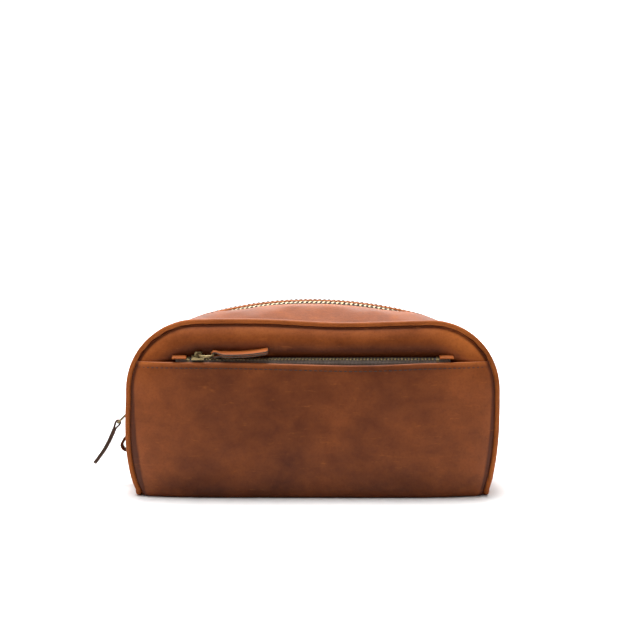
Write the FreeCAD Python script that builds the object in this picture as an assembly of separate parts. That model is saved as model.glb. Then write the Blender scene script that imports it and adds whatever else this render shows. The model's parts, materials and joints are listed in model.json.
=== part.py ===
"""Leather shaving kit bag, in millimetres.

+Z is up, the pocket side faces -Y, and the origin is the middle of the base, on the floor.
The body is a run of D-shaped sections along Y: two seam sections where the piping lies, and a
fuller zip section in between. Every sewn piece is cut from that one form.
"""
import FreeCAD
import Part

import math
import os

Vector = FreeCAD.Vector

# Seam section: the D outline where the front and back panels meet the strip
seam_depth = 108.0
seam_half_width = 129.0
seam_height = 123.7
seam_corner_radius = 46.7
seam_top_rise = 1.0
foot_taper = 7.5

# Zip section: how much fuller the bag is at the middle of its depth
side_crown = 5.0
top_crown = 14.3
zip_corner_radius = 78.0
zip_top_rise = 7.5
crown_share = 0.72
crown_place = 0.5

# Sheet materials
leather = 1.8
pocket_leather = 1.6
lining = 0.4
board = 0.8
ply_gap = 0.1
lining_gap = 0.3
lining_zip_gap = 1.0
board_end_gap = 9.0

# Domes of the panels
front_dome = 1.0
back_dome = 3.0
pocket_dome = 12.2
dome_roll = 16.0
dome_inset = 6.0
dome_foot_rise = 2.0
foot_lift = 3.0
least_foot_share = 0.2

# How far the pocket has swollen, against its distance in from the seam
pocket_swell = [(0.0, 0.07), (0.48, 0.27), (0.83, 0.54), (1.0, 0.88)]

# Piping: a filler cord in a leather cover
piping_diameter = 4.5
piping_wall = 1.0
piping_floor_gap = 0.35
piping_elbow_room = 0.15
seam_touch = 0.3

# Main zip, along the top and down both ends
zip_opening = 16.0
zip_end_margin = 8.5
zip_foot_run = 5.0
zip_tape = 0.8
zip_tape_hidden = 6.0
zip_gap = 1.4
tooth_pitch = 3.4
tooth_width = 2.0
tooth_reach = 3.3
tooth_head = 1.2
tooth_jaw = 1.0
tooth_clearance = 0.06
stop_width = 2.4
stop_clearance = 0.2

# Main slider, ring and pull
slider_length = 11.0
slider_half_width = 5.6
slider_plate = 1.2
slider_clearance = 0.5
slider_rim = 1.0
slider_taper = 0.93
slider_post = 0.8
slider_shoulder_share = 0.1
slider_stem_share = 0.3
slider_stem_place = 0.12
slider_skirt_share = 0.35
slider_bridge_length = 5.0
slider_bridge_height = 3.4
slider_bridge_width = 2.0
bridge_round_share = 0.25
bridge_hole_share = 0.45
slider_rest_degrees = 1.5
ring_radius = 5.8
ring_wire_radius = 0.8
ring_clearance = 0.35
pull_length = 38.0
pull_half_width = 5.0
pull_thickness = 2.8
pull_neck_half_width = 2.2
pull_fold_radius = 2.5
pull_fold_bore = 1.3
pull_neck_length = 3.0
pull_shoulder_length = 6.5
pull_tip_cut = 1.4
main_ring_drop_degrees = 45.0
main_pull_lean_degrees = 30.0

# Loop tabs over the ends of the main zip
tab_half_width = 5.0
tab_leather = 1.3
tab_length = 12.0
tab_rise = 1.8
left_loop_radius = 4.2
right_loop_radius = 2.6
loop_drop = 2.0

# Front pocket and its zip
pocket_top_drop = 27.0
pocket_zip_side_margin = 35.0
pocket_zip_rise = 1.9
pocket_zip_forward = 0.5
pocket_zip_tilt_degrees = 13.0
pocket_tape = 0.6
pocket_tape_depth = 9.0
pocket_zip_gap = 0.9
pocket_tooth_pitch = 2.4
pocket_tooth_width = 1.4
pocket_tooth_reach = 2.3
pocket_tooth_head = 0.8
pocket_tooth_jaw = 0.55
pocket_stop_width = 1.8
pocket_slider_length = 9.0
pocket_slider_half_width = 4.3
pocket_slider_plate = 0.9
pocket_slider_clearance = 0.4
pocket_slider_post = 0.5
pocket_bridge_height = 3.1
pocket_slider_rest_gap = 1.5
end_patch_length = 10.0
end_patch_half_width = 3.2
end_patch_leather = 1.2
end_patch_gap = 0.6
pocket_lining_side_share = 1.115

# Worked-out values
foot_half_width = seam_half_width - foot_taper
half_depth = seam_depth / 2
piping_radius = piping_diameter / 2
piping_base_height = piping_radius + piping_floor_gap
elbow_radius = piping_radius + piping_elbow_room
foot_radius = piping_base_height + elbow_radius
tape_inset = leather + ply_gap
tape_middle = tape_inset + zip_tape / 2
lining_inset = tape_inset + zip_tape + lining_gap
pocket_height = seam_height - pocket_top_drop
front_face = -half_depth - leather - front_dome
pocket_face = -half_depth - leather - pocket_leather - pocket_dome
pocket_zip_y = (front_face + pocket_face + pocket_leather) / 2 - pocket_zip_forward
pocket_zip_z = pocket_height + pocket_zip_rise
far = 400.0
over = 1.0


class Section:
    """One D-shaped cross-section, from the seam (share 0) to the zip (share 1)."""

    def __init__(self, share, raised=0.0):
        self.half_width = seam_half_width + side_crown * share
        self.height = seam_height + top_crown * share + raised
        self.radius = seam_corner_radius + (zip_corner_radius - seam_corner_radius) * share
        self.rise = seam_top_rise + (zip_top_rise - seam_top_rise) * share
        self.corner_x = self.half_width - self.radius
        self.corner_z = self.height - self.rise - self.radius

    def top_radius(self, inset=0.0):
        span = self.corner_x ** 2 + (self.height - self.corner_z) ** 2 - self.radius ** 2
        return span / (2 * self.rise) - inset

    def corner_sweep(self):
        """Angle of the corner arc, from level to where the top arc takes over."""
        top_centre = self.height - self.top_radius()
        return math.atan2(self.corner_z - top_centre, self.corner_x)

    def side_radius(self, inset, lift):
        out = self.half_width - foot_half_width
        up = self.corner_z - lift - foot_radius
        return (out ** 2 + up ** 2) / (2 * out)

    def side_x(self, z, inset=0.0):
        """Half width of the outline at height z, on the side or the corner."""
        if z > self.corner_z:
            reach = self.radius - inset
            return self.corner_x + math.sqrt(reach ** 2 - (z - self.corner_z) ** 2)
        bow = self.side_radius(inset, 0.0)
        return self.half_width - inset - bow + math.sqrt(bow ** 2 - (self.corner_z - z) ** 2)


seam = Section(0.0)
crown = Section(1.0)


def box(x0, x1, y0, y1, z0, z1):
    return Part.makeBox(x1 - x0, y1 - y0, z1 - z0, Vector(x0, y0, z0))


def outline_edges(section, y, inset=0.0, lift=0.0):
    """Edges of the D outline: base, right foot, side, corner, top and round to the left foot."""
    width = section.half_width - inset
    foot = foot_half_width - inset
    round_foot = max(foot_radius - lift, foot_radius * least_foot_share)
    radius = section.radius - inset
    height = section.height - inset
    sweep = section.corner_sweep()
    bow = section.side_radius(inset, lift)
    lean = math.asin((section.corner_z - lift - round_foot) / bow)
    half = math.sqrt(0.5)

    def at(x, z):
        return Vector(x, y, z)

    def side(sign):
        low = at(sign * foot, lift + round_foot)
        middle = at(sign * (width - bow + bow * math.cos(lean / 2)),
                    section.corner_z - bow * math.sin(lean / 2))
        return Part.Arc(low, middle, at(sign * width, section.corner_z)).toShape()

    def corner(sign):
        def turn(angle):
            return at(sign * (section.corner_x + radius * math.cos(angle)),
                      section.corner_z + radius * math.sin(angle))
        return Part.Arc(turn(0.0), turn(sweep / 2), turn(sweep)).toShape(), turn(sweep)

    def foot_arc(sign):
        centre_x = foot - round_foot
        middle = at(sign * (centre_x + round_foot * half), lift + round_foot * (1 - half))
        return Part.Arc(at(sign * centre_x, lift), middle, at(sign * foot, lift + round_foot)).toShape()

    right_corner, right_top = corner(1)
    left_corner, left_top = corner(-1)
    top = Part.Arc(right_top, at(0, height), left_top).toShape()
    base = Part.makeLine(at(-foot + round_foot, lift), at(foot - round_foot, lift))
    return [base, foot_arc(1), side(1), right_corner, top, left_corner, side(-1), foot_arc(-1)]


def outline(section, y, inset=0.0, lift=0.0):
    return Part.Wire(Part.__sortEdges__(outline_edges(section, y, inset, lift)))


def loft(wires):
    return Part.makeLoft(wires, True, True)


def body_solid(inset, end):
    """The whole D body taken in by inset, running to end on both sides of the middle."""
    flat = zip_opening / 2
    shoulder = flat + (half_depth - flat) * crown_place
    stations = [(half_depth, seam), (shoulder, Section(crown_share)), (flat, crown)]
    if end > half_depth:
        stations.insert(0, (end, seam))
    wires = [outline(section, -y, inset, inset) for y, section in stations]
    wires += [outline(section, y, inset, inset) for y, section in reversed(stations)]
    return loft(wires)


def body_shell(inset, wall):
    """A closed ring of sheet, wall thick, lying inset inside the bag's outer form."""
    return body_solid(inset, half_depth).cut(body_solid(inset + wall, half_depth + over))


def strip_seam_height():
    """Height of the seam where the top strip and the zip end on the end panels."""
    return crown.corner_z - zip_end_margin


def top_strip(shell, sign, clear=0.0):
    """The half of the shell over the top on one side of the zip."""
    low = zip_opening / 2 + clear
    cutter = box(-far, far, low, far, strip_seam_height(), far)
    if sign < 0:
        cutter = box(-far, far, -far, -low, strip_seam_height(), far)
    return shell.common(cutter)


def end_panel(shell, sign):
    low, high = foot_radius, strip_seam_height()
    if sign < 0:
        return shell.common(box(-far, 0, -far, far, low, high))
    return shell.common(box(0, far, -far, far, low, high))


def base_panel(shell):
    return shell.common(box(-far, far, -far, far, -over, foot_radius))


def flange(y0, y1):
    """Flat seam edge of a panel, from y0 forward to y1."""
    return Part.Face(outline(seam, y0)).extrude(Vector(0, y1 - y0, 0))


def dome(sign, start, stations, open_top=False):
    """Domed solid standing on a seam plane: stations are (height, inset, lift).

    With an open top the sides roll in but the upper edge doesn't, so the dome runs straight up.
    """
    wires = []
    for height, inset, lift in stations:
        section = Section(0.0, inset if open_top else 0.0)
        wires.append(outline(section, sign * (start + height), inset, lift))
    return loft(wires)


def domed_panel(sign, height):
    """A front or back panel: flat flange in the seam and a low dome inside it."""
    flat = half_depth + leather
    edge = Part.Face(outline(seam, sign * half_depth)).extrude(Vector(0, sign * leather, 0))
    outer = dome(sign, flat, [(0, dome_inset, foot_radius), (height, dome_roll, foot_radius + dome_foot_rise)])
    inner = dome(sign, half_depth, [(-over, dome_inset + leather, foot_radius + leather),
                                    (0, dome_inset + leather, foot_radius + leather),
                                    (height, dome_roll + leather, foot_radius + dome_foot_rise + leather)])
    return edge.fuse(outer).cut(inner).removeSplitter()


def pocket_stations(wall, inset):
    """Dome of the pocket panel: it swells quickly from the seam and flattens to the middle."""
    return [(pocket_dome * rise - wall, seam_corner_radius * share + inset,
             foot_lift * rise + wall) for rise, share in pocket_swell]


def pocket_cavity():
    start = half_depth + leather + pocket_leather
    stations = pocket_stations(pocket_leather, pocket_leather / 2)
    return dome(-1, start, stations, open_top=True)


def pocket_panel():
    start = half_depth + leather + pocket_leather
    edge = flange(-half_depth - leather, -start)
    outer = dome(-1, start, pocket_stations(0.0, 0.0), open_top=True)
    panel = edge.fuse(outer).cut(pocket_cavity())
    panel = panel.cut(front_cover())
    return panel.common(box(-far, far, -far, far, -over, pocket_height)).removeSplitter()


def front_cover():
    """Everything behind the outer face of the front panel."""
    flat = half_depth + leather
    return dome(-1, flat, [(-over, dome_inset, foot_radius), (0, dome_inset, foot_radius),
                           (front_dome, dome_roll, foot_radius + dome_foot_rise)])


def piping_path(sign):
    """Along the D seam, and round an elbow onto the base edge at both feet."""
    y = sign * half_depth
    offset = piping_radius + seam_touch
    edges = outline_edges(seam, y, -offset)[2:7]
    return Part.Wire(Part.__sortEdges__([elbow(-1, sign)] + edges + [elbow(1, sign)]))


def elbow(side, sign):
    """Turn of the piping from the foot of the D seam onto the base edge."""
    offset = piping_radius + seam_touch
    rise = (seam.corner_z - foot_radius) / seam.side_radius(-offset, 0.0)
    up = Vector(side * rise, 0, math.sqrt(1 - rise ** 2))
    out = Vector(0, sign, 0)
    foot = Vector(side * (foot_half_width + offset), sign * half_depth, foot_radius)
    centre = foot - out * elbow_radius
    half = math.sqrt(0.5)
    middle = centre + (out - up) * (elbow_radius * half)
    return Part.Arc(centre - up * elbow_radius, middle, foot).toShape()


def swept(path, radius):
    start = path.OrderedVertexes[0].Point
    first = path.OrderedEdges[0]
    tangent = first.tangentAt(first.FirstParameter)
    section = Part.Wire(Part.makeCircle(radius, start, tangent))
    return path.makePipeShell([section], True, False)


def seam_piping(sign):
    path = piping_path(sign)
    core = piping_radius - piping_wall
    cover = swept(path, piping_radius).cut(swept(path, core))
    return cover, swept(path, core - ply_gap / 2)


def base_piping(sign):
    start = elbow(sign, -1).Vertexes[0].Point
    reach = -start.y
    core = piping_radius - piping_wall

    def rod(radius):
        return Part.makeCylinder(radius, 2 * reach, start, Vector(0, 1, 0))

    return rod(piping_radius).cut(rod(core)), rod(core - ply_gap / 2)


def frame_at(origin, along, outward):
    """Placement of a zip's own axes: x along the chain, y to the rear tape, z outward."""
    across = outward.cross(along)
    return FreeCAD.Placement(origin, FreeCAD.Rotation(along, across, outward, "ZXY"))


def placed(shape, placement):
    moved = shape.copy()
    moved.Placement = placement
    return moved


def main_zip_frame(angle):
    """Axes on the left corner arc, angle radians up from its start."""
    reach = zip_tape_radius()
    outward = Vector(-math.cos(angle), 0, math.sin(angle))
    along = Vector(math.sin(angle), 0, math.cos(angle))
    origin = Vector(-crown.corner_x, 0, crown.corner_z) + outward * reach
    return frame_at(origin, along, outward)


def zip_tape_radius():
    return crown.radius - tape_middle


def mirror_frame(placement):
    """The same place on the right-hand side, with its axes still right-handed."""
    rotation = placement.Rotation
    origin = placement.Base
    along = rotation.multVec(Vector(1, 0, 0))
    outward = rotation.multVec(Vector(0, 0, 1))
    return frame_at(Vector(-origin.x, origin.y, origin.z), Vector(along.x, 0, -along.z),
                    Vector(-outward.x, 0, outward.z))


def main_zip_frames():
    """One frame for each tooth: up the left corner, over the top and down the right corner."""
    corner = crown.corner_sweep()
    corner_length = corner * zip_tape_radius()
    top_radius = crown.top_radius(tape_middle)
    half_top = (math.pi / 2 - corner) * top_radius
    half_count = int((corner_length + half_top + zip_foot_run - tooth_pitch / 2) / tooth_pitch)
    centre = Vector(0, 0, crown.height - crown.top_radius())
    left = []
    for index in range(half_count):
        run = (index + 0.5) * tooth_pitch
        if run < half_top:
            angle = run / top_radius
            outward = Vector(-math.sin(angle), 0, math.cos(angle))
            along = Vector(math.cos(angle), 0, math.sin(angle))
            left.append(frame_at(centre + outward * top_radius, along, outward))
        else:
            left.append(main_zip_frame(corner - (run - half_top) / zip_tape_radius()))
    return left[::-1] + [mirror_frame(frame) for frame in left]


def clamp_block(sign, gap, head, reach, jaw, tape, width, clearance=tooth_clearance):
    """A tooth or stop: a head beside the tape's edge and two jaws round it."""
    slot = tape / 2 + clearance
    thick = tape / 2 + jaw
    near, neck, tip = gap / 2, gap / 2 + head, gap / 2 + reach
    corners = [(near, -thick), (tip, -thick), (tip, -slot), (neck, -slot),
               (neck, slot), (tip, slot), (tip, thick), (near, thick)]
    points = [Vector(-width / 2, sign * y, z) for y, z in corners]
    face = Part.Face(Part.makePolygon(points + points[:1]))
    return face.extrude(Vector(width, 0, 0))


def main_zip_teeth(sign):
    tooth = clamp_block(sign, zip_gap, tooth_head, tooth_reach, tooth_jaw, zip_tape, tooth_width)
    return Part.makeCompound([placed(tooth, frame) for frame in main_zip_frames()])


def main_zip_stops():
    below = -(zip_foot_run + stop_width / 2) / zip_tape_radius()
    frame = main_zip_frame(below)
    blocks = []
    for sign in (-1, 1):
        block = clamp_block(sign, zip_gap, tooth_head, tooth_reach, tooth_jaw, zip_tape, stop_width,
                            stop_clearance)
        blocks.append(placed(block, frame))
        blocks.append(placed(block, mirror_frame(frame)))
    return Part.makeCompound(blocks)


def main_zip_tape(shell, sign):
    near = zip_gap / 2 + tooth_head + tooth_clearance
    wide = zip_opening / 2 + zip_tape_hidden
    low = strip_seam_height() - zip_end_margin / 2
    if sign < 0:
        return shell.common(box(-far, far, -wide, -near, low, far))
    return shell.common(box(-far, far, near, wide, low, far))


def slider_plan(length, half_width):
    """Outline of a slider plate: full just past its middle and narrower at both ends."""
    end = half_width * slider_taper
    corners = [(-length / 2, -end), (length * slider_shoulder_share, -half_width), (length / 2, -end),
               (length / 2, end), (length * slider_shoulder_share, half_width), (-length / 2, end)]
    points = [Vector(x, y, 0) for x, y in corners]
    return Part.Face(Part.makePolygon(points + points[:1]))


def bored_bridge(base, length, width, height, bore):
    """The arch that the ring passes through, standing on the slider at height base."""
    arch = Part.makeBox(length, width, height, Vector(-length / 2, -width / 2, base))
    crests = [edge for edge in arch.Edges
              if abs(edge.CenterOfMass.z - base - height) < 1e-6 and abs(edge.CenterOfMass.y) < 1e-6]
    arch = arch.makeFillet(length * bridge_round_share, crests)
    hole_z = base + bore + (height - 2 * bore) * bridge_hole_share
    hole = Part.makeCylinder(bore, 2 * width, Vector(0, -width, hole_z), Vector(0, 1, 0))
    return arch.cut(hole), hole_z


def zip_slider(half_chain, length, half_width, plate, clearance, post, bridge_height):
    """A slider in a zip's own axes, and the height of its ring's axis."""
    inner = half_chain + clearance
    plan = slider_plan(length, half_width)
    hollow = slider_plan(length + 2 * over, half_width - slider_rim)
    rim = clearance + slider_skirt_share * half_chain
    upper = placed(plan, FreeCAD.Placement(Vector(0, 0, inner - rim), FreeCAD.Rotation()))
    upper = upper.extrude(Vector(0, 0, plate + rim))
    upper_hollow = placed(hollow, FreeCAD.Placement(Vector(0, 0, inner - rim - over), FreeCAD.Rotation()))
    upper = upper.cut(upper_hollow.extrude(Vector(0, 0, rim + over)))
    lower = placed(plan, FreeCAD.Placement(Vector(0, 0, -inner - plate), FreeCAD.Rotation()))
    lower = lower.extrude(Vector(0, 0, plate))
    stem = Part.makeBox(length * slider_stem_share, post, 2 * inner,
                        Vector(length * slider_stem_place, -post / 2, -inner))
    bore = ring_wire_radius + ring_clearance
    bridge, axis_z = bored_bridge(inner + plate, slider_bridge_length, slider_bridge_width,
                                  bridge_height, bore)
    return upper.fuse([lower, stem, bridge]).removeSplitter(), axis_z


def ring_at(pivot, direction, across):
    """A round ring hanging from pivot towards direction, with across in its plane."""
    normal = direction.cross(across)
    return Part.makeTorus(ring_radius, ring_wire_radius, pivot + direction * ring_radius, normal)


def leather_pull(pivot, direction, across):
    """Two plies folded round the ring at pivot, running towards direction."""
    half_plan = [(0, pull_neck_half_width), (pull_neck_length, pull_neck_half_width),
                 (pull_shoulder_length, pull_half_width), (pull_length - pull_tip_cut, pull_half_width),
                 (pull_length, pull_half_width - pull_tip_cut)]
    corners = half_plan + [(x, -y) for x, y in reversed(half_plan)]
    points = [Vector(x, y, -pull_thickness / 2) for x, y in corners]
    strap = Part.Face(Part.makePolygon(points + points[:1])).extrude(Vector(0, 0, pull_thickness))
    low = Vector(0, -pull_neck_half_width, 0)
    hump = Part.makeCylinder(pull_fold_radius, 2 * pull_neck_half_width, low, Vector(0, 1, 0))
    bore = Part.makeCylinder(pull_fold_bore, 4 * pull_neck_half_width, low * 2, Vector(0, 1, 0))
    outward = direction.cross(across)
    return placed(strap.fuse(hump).cut(bore), frame_at(pivot, direction, outward))


def main_slider_parts():
    """Slider at the left end, its ring hanging outward and the pull below it."""
    half_chain = zip_tape / 2 + tooth_jaw
    slider, axis_z = zip_slider(half_chain, slider_length, slider_half_width, slider_plate,
                                slider_clearance, slider_post, slider_bridge_height)
    frame = main_zip_frame(math.radians(slider_rest_degrees))
    across = Vector(0, 1, 0)
    pivot = frame.multVec(Vector(0, 0, axis_z))
    drop = math.radians(main_ring_drop_degrees)
    ring_way = Vector(-math.sin(drop), 0, -math.cos(drop))
    lean = math.radians(main_pull_lean_degrees)
    pull_way = Vector(-math.sin(lean), 0, -math.cos(lean))
    far_point = pivot + ring_way * (2 * ring_radius)
    ring = ring_at(pivot, ring_way, across)
    pull = leather_pull(far_point, pull_way, across)
    return placed(slider, frame), ring, pull, pivot, far_point


def loop_tab(sign, loop_radius):
    """Leather strap sewn over the end of the main zip, ending in a small loop."""
    high = strip_seam_height() + tab_rise
    strap = body_shell(-ply_gap - tab_leather, tab_leather)
    middle = high - tab_length
    keep = box(-far, 0, -tab_half_width, tab_half_width, middle, high)
    x = crown.side_x(middle) + ply_gap + loop_radius
    centre = Vector(-x, -tab_half_width, middle - loop_drop)
    width = 2 * tab_half_width
    loop = Part.makeCylinder(loop_radius, width, centre, Vector(0, 1, 0))
    eye = Part.makeCylinder(loop_radius - tab_leather, width, centre, Vector(0, 1, 0))
    tab = strap.common(keep).fuse(loop).cut(eye).removeSplitter()
    if sign > 0:
        return tab.mirror(Vector(0, 0, 0), Vector(1, 0, 0))
    return tab


def pocket_zip_frame(x):
    tilt = math.radians(pocket_zip_tilt_degrees)
    outward = Vector(0, -math.sin(tilt), math.cos(tilt))
    return frame_at(Vector(x, pocket_zip_y, pocket_zip_z), Vector(1, 0, 0), outward)


def pocket_zip_reach():
    """Half length of the pocket zip's chain."""
    return seam.side_x(pocket_height) - pocket_zip_side_margin


def pocket_zip_teeth(sign):
    reach = pocket_zip_reach() - pocket_stop_width
    count = int(2 * reach / pocket_tooth_pitch)
    tooth = clamp_block(sign, pocket_zip_gap, pocket_tooth_head, pocket_tooth_reach,
                        pocket_tooth_jaw, pocket_tape, pocket_tooth_width)
    first = -(count - 1) / 2 * pocket_tooth_pitch
    return Part.makeCompound([placed(tooth, pocket_zip_frame(first + index * pocket_tooth_pitch))
                              for index in range(count)])


def pocket_zip_stops():
    blocks = []
    for side in (-1, 1):
        for sign in (-1, 1):
            block = clamp_block(sign, pocket_zip_gap, pocket_tooth_head, pocket_tooth_reach,
                                pocket_tooth_jaw, pocket_tape, pocket_stop_width)
            place = side * (pocket_zip_reach() - pocket_stop_width / 2 + ply_gap)
            blocks.append(placed(block, pocket_zip_frame(place)))
    return Part.makeCompound(blocks)


def pocket_zip_tape(sign):
    """Tape from the tooth edge out to its panel, then down beside that panel."""
    half = pocket_zip_reach() + end_patch_length
    near = pocket_zip_gap / 2 + pocket_tooth_head + tooth_clearance
    wall_y = pocket_face + pocket_leather + ply_gap
    if sign > 0:
        wall_y = front_face - ply_gap
    tilt = math.radians(pocket_zip_tilt_degrees)
    wide = abs(wall_y - pocket_zip_y) / math.cos(tilt)
    flat = Part.makeBox(2 * half, wide - near, pocket_tape, Vector(-half, near, -pocket_tape / 2))
    if sign < 0:
        flat = Part.makeBox(2 * half, wide - near, pocket_tape, Vector(-half, -wide, -pocket_tape / 2))
    flat = placed(flat, pocket_zip_frame(0))
    edge_z = pocket_zip_z + sign * wide * math.sin(tilt)
    y0 = wall_y if sign < 0 else wall_y - pocket_tape
    drop = box(-half, half, y0, y0 + pocket_tape, edge_z - pocket_tape_depth, edge_z)
    tape = flat.fuse(drop)
    if sign < 0:
        tape = tape.common(pocket_cavity())
    return tape.cut(front_cover()).removeSplitter()


def pocket_end_patch(sign):
    """Leather patch sewn over one end of the pocket zip."""
    low = pocket_tape / 2 + pocket_tooth_jaw + ply_gap
    patch = Part.makeBox(end_patch_length, 2 * end_patch_half_width, end_patch_leather,
                         Vector(-end_patch_length / 2, -end_patch_half_width, low))
    place = pocket_zip_reach() + end_patch_gap + end_patch_length / 2
    return placed(patch, pocket_zip_frame(sign * place))


def pocket_slider_parts():
    """Pocket slider at the left end, its ring and pull laid along the zip."""
    half_chain = pocket_tape / 2 + pocket_tooth_jaw
    slider, axis_z = zip_slider(half_chain, pocket_slider_length, pocket_slider_half_width,
                                pocket_slider_plate, pocket_slider_clearance, pocket_slider_post,
                                pocket_bridge_height)
    place = -pocket_zip_reach() + pocket_stop_width + pocket_slider_rest_gap + pocket_slider_length / 2
    frame = pocket_zip_frame(place)
    across = frame.Rotation.multVec(Vector(0, 1, 0))
    pivot = frame.multVec(Vector(0, 0, axis_z))
    way = Vector(1, 0, 0)
    far_point = pivot + way * (2 * ring_radius)
    ring = ring_at(pivot, way, across)
    pull = leather_pull(far_point, way, across)
    return placed(slider, frame), ring, pull, pivot, far_point


def pocket_lining():
    """Open-topped cloth bag between the front panel and the pocket panel."""
    half = seam_half_width - seam_corner_radius * pocket_lining_side_share
    low = foot_radius + foot_lift
    high = pocket_height - pocket_tape_depth
    y0 = pocket_face + pocket_leather + lining_gap
    y1 = front_face - lining_gap
    outer = box(-half, half, y0, y1, low, high)
    return outer.cut(box(-half + lining, half - lining, y0 + lining, y1 - lining, low + lining, high + over))


def lining_panel(sign):
    """Flat lining behind the front or back panel."""
    y = sign * (half_depth - lining_gap)
    sheet = Part.Face(outline(seam, y, lining_inset + lining, lining_inset + lining))
    return sheet.extrude(Vector(0, -sign * lining, 0))


def base_board():
    low = leather + ply_gap
    half = foot_half_width - foot_radius - leather
    reach = half_depth - board_end_gap
    return box(-half, half, -reach, reach, low, low + board)


def build():
    shell = body_shell(0.0, leather)
    tape = body_shell(tape_inset, zip_tape)
    inside = half_depth - lining_gap - 2 * lining
    cloth = body_shell(lining_inset, lining).common(box(-far, far, -inside, inside, -far, far))
    nodes = {
        "front_panel": domed_panel(-1, front_dome),
        "back_panel": domed_panel(1, back_dome),
        "base_panel": base_panel(shell),
        "pocket_panel": pocket_panel(),
        "top_strip_front": top_strip(shell, -1),
        "top_strip_back": top_strip(shell, 1),
        "end_panel_left": end_panel(shell, -1),
        "end_panel_right": end_panel(shell, 1),
        "main_zip_tape_front": main_zip_tape(tape, -1),
        "main_zip_tape_back": main_zip_tape(tape, 1),
        "main_zip_teeth_front": main_zip_teeth(-1),
        "main_zip_teeth_back": main_zip_teeth(1),
        "main_zip_stops": main_zip_stops(),
        "main_zip_tab_left": loop_tab(-1, left_loop_radius),
        "main_zip_tab_right": loop_tab(1, right_loop_radius),
        "pocket_zip_tape_front": pocket_zip_tape(-1),
        "pocket_zip_tape_rear": pocket_zip_tape(1),
        "pocket_zip_teeth_front": pocket_zip_teeth(-1),
        "pocket_zip_teeth_rear": pocket_zip_teeth(1),
        "pocket_zip_stops": pocket_zip_stops(),
        "pocket_zip_patch_left": pocket_end_patch(-1),
        "pocket_zip_patch_right": pocket_end_patch(1),
        "pocket_lining": pocket_lining(),
        "lining_front": lining_panel(-1),
        "lining_back": lining_panel(1),
        "lining_base": base_panel(cloth),
        "lining_end_left": end_panel(cloth, -1),
        "lining_end_right": end_panel(cloth, 1),
        "lining_strip_front": top_strip(cloth, -1, lining_zip_gap),
        "lining_strip_back": top_strip(cloth, 1, lining_zip_gap),
        "base_board": base_board(),
    }
    for name, sign in (("front", -1), ("back", 1)):
        cover, cord = seam_piping(sign)
        nodes["piping_" + name + "_cover"] = cover
        nodes["piping_" + name + "_cord"] = cord
    for name, sign in (("left", -1), ("right", 1)):
        cover, cord = base_piping(sign)
        nodes["piping_base_" + name + "_cover"] = cover
        nodes["piping_base_" + name + "_cord"] = cord
    for name, parts in (("main", main_slider_parts()), ("pocket", pocket_slider_parts())):
        slider, ring, pull, pivot, far_point = parts
        nodes[name + "_slider"] = slider
        nodes[name + "_ring"] = ring
        nodes[name + "_pull"] = pull
        print(name, "ring axis at", [round(value, 3) for value in pivot])
        print(name, "pull axis at", [round(value, 3) for value in far_point])
    print("main zip arc centre at", round(-crown.corner_x, 3), round(crown.corner_z, 3))
    return nodes


def main():
    os.makedirs("parts", exist_ok=True)
    for name, shape in build().items():
        if not shape.isValid() or shape.Volume <= 0 or not shape.Solids:
            raise ValueError(name + " is not a sound solid")
        shape.exportStep("parts/" + name + ".step")
        print(name, len(shape.Solids), round(shape.Volume, 1))


main()
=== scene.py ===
import json
import math

import bmesh
import bpy
import numpy as np
from mathutils import Matrix, Vector

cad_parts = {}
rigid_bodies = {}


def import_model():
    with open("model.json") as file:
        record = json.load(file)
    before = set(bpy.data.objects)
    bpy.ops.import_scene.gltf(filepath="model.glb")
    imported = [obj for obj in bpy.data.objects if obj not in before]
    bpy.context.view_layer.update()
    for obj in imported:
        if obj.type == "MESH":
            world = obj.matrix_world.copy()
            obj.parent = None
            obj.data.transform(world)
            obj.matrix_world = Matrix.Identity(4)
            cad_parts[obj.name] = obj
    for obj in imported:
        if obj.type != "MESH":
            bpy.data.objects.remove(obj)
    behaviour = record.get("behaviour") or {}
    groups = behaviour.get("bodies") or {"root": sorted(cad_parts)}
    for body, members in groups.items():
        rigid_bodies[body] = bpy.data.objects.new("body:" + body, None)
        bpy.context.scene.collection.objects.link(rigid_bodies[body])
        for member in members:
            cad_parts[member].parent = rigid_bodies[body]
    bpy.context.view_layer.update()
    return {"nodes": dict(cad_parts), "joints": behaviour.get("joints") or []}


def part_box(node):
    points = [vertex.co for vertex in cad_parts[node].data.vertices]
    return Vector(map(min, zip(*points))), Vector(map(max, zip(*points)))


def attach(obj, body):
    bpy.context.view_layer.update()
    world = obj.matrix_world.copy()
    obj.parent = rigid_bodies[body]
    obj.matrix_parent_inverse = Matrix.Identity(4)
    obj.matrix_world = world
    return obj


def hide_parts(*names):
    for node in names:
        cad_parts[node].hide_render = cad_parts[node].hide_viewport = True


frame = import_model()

bl_info = {
    "name": "Shaving Kit Bag",
    "version": (1, 0, 0),
    "blender": (4, 5, 0),
    "location": "View3D > Sidebar > Kit Bag",
    "description": "Builds a piped leather shaving kit bag around its packed frame",
    "category": "Object",
}

MM = 0.001


def low(node):
    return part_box(node)[0]


def high(node):
    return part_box(node)[1]


# Sizes that the frame settles
HALF_WIDTH = high("front_panel").x
SEAM_HEIGHT = high("front_panel").z
HALF_DEPTH = -low("top_strip_front").y
CROWN_HALF_WIDTH = high("top_strip_front").x
CROWN_HEIGHT = high("top_strip_front").z
ZIP_HALF_OPENING = -high("top_strip_front").y
STRIP_FOOT = low("top_strip_front").z
FOOT_HALF_WIDTH = high("base_panel").x
FOOT_RADIUS = high("base_panel").z
POCKET_HEIGHT = high("pocket_panel").z
POCKET_FACE = low("pocket_panel").y
PIPING_RADIUS = (high("piping_base_left_cover").z - low("piping_base_left_cover").z) / 2
UNDER_PIPING = 0.6 * MM
JOINTS = {joint["name"]: joint for joint in frame["joints"]}


def joint_point(name):
    return Vector(JOINTS[name]["pos_m"])


# ---------------------------------------------------------------- settings


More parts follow.
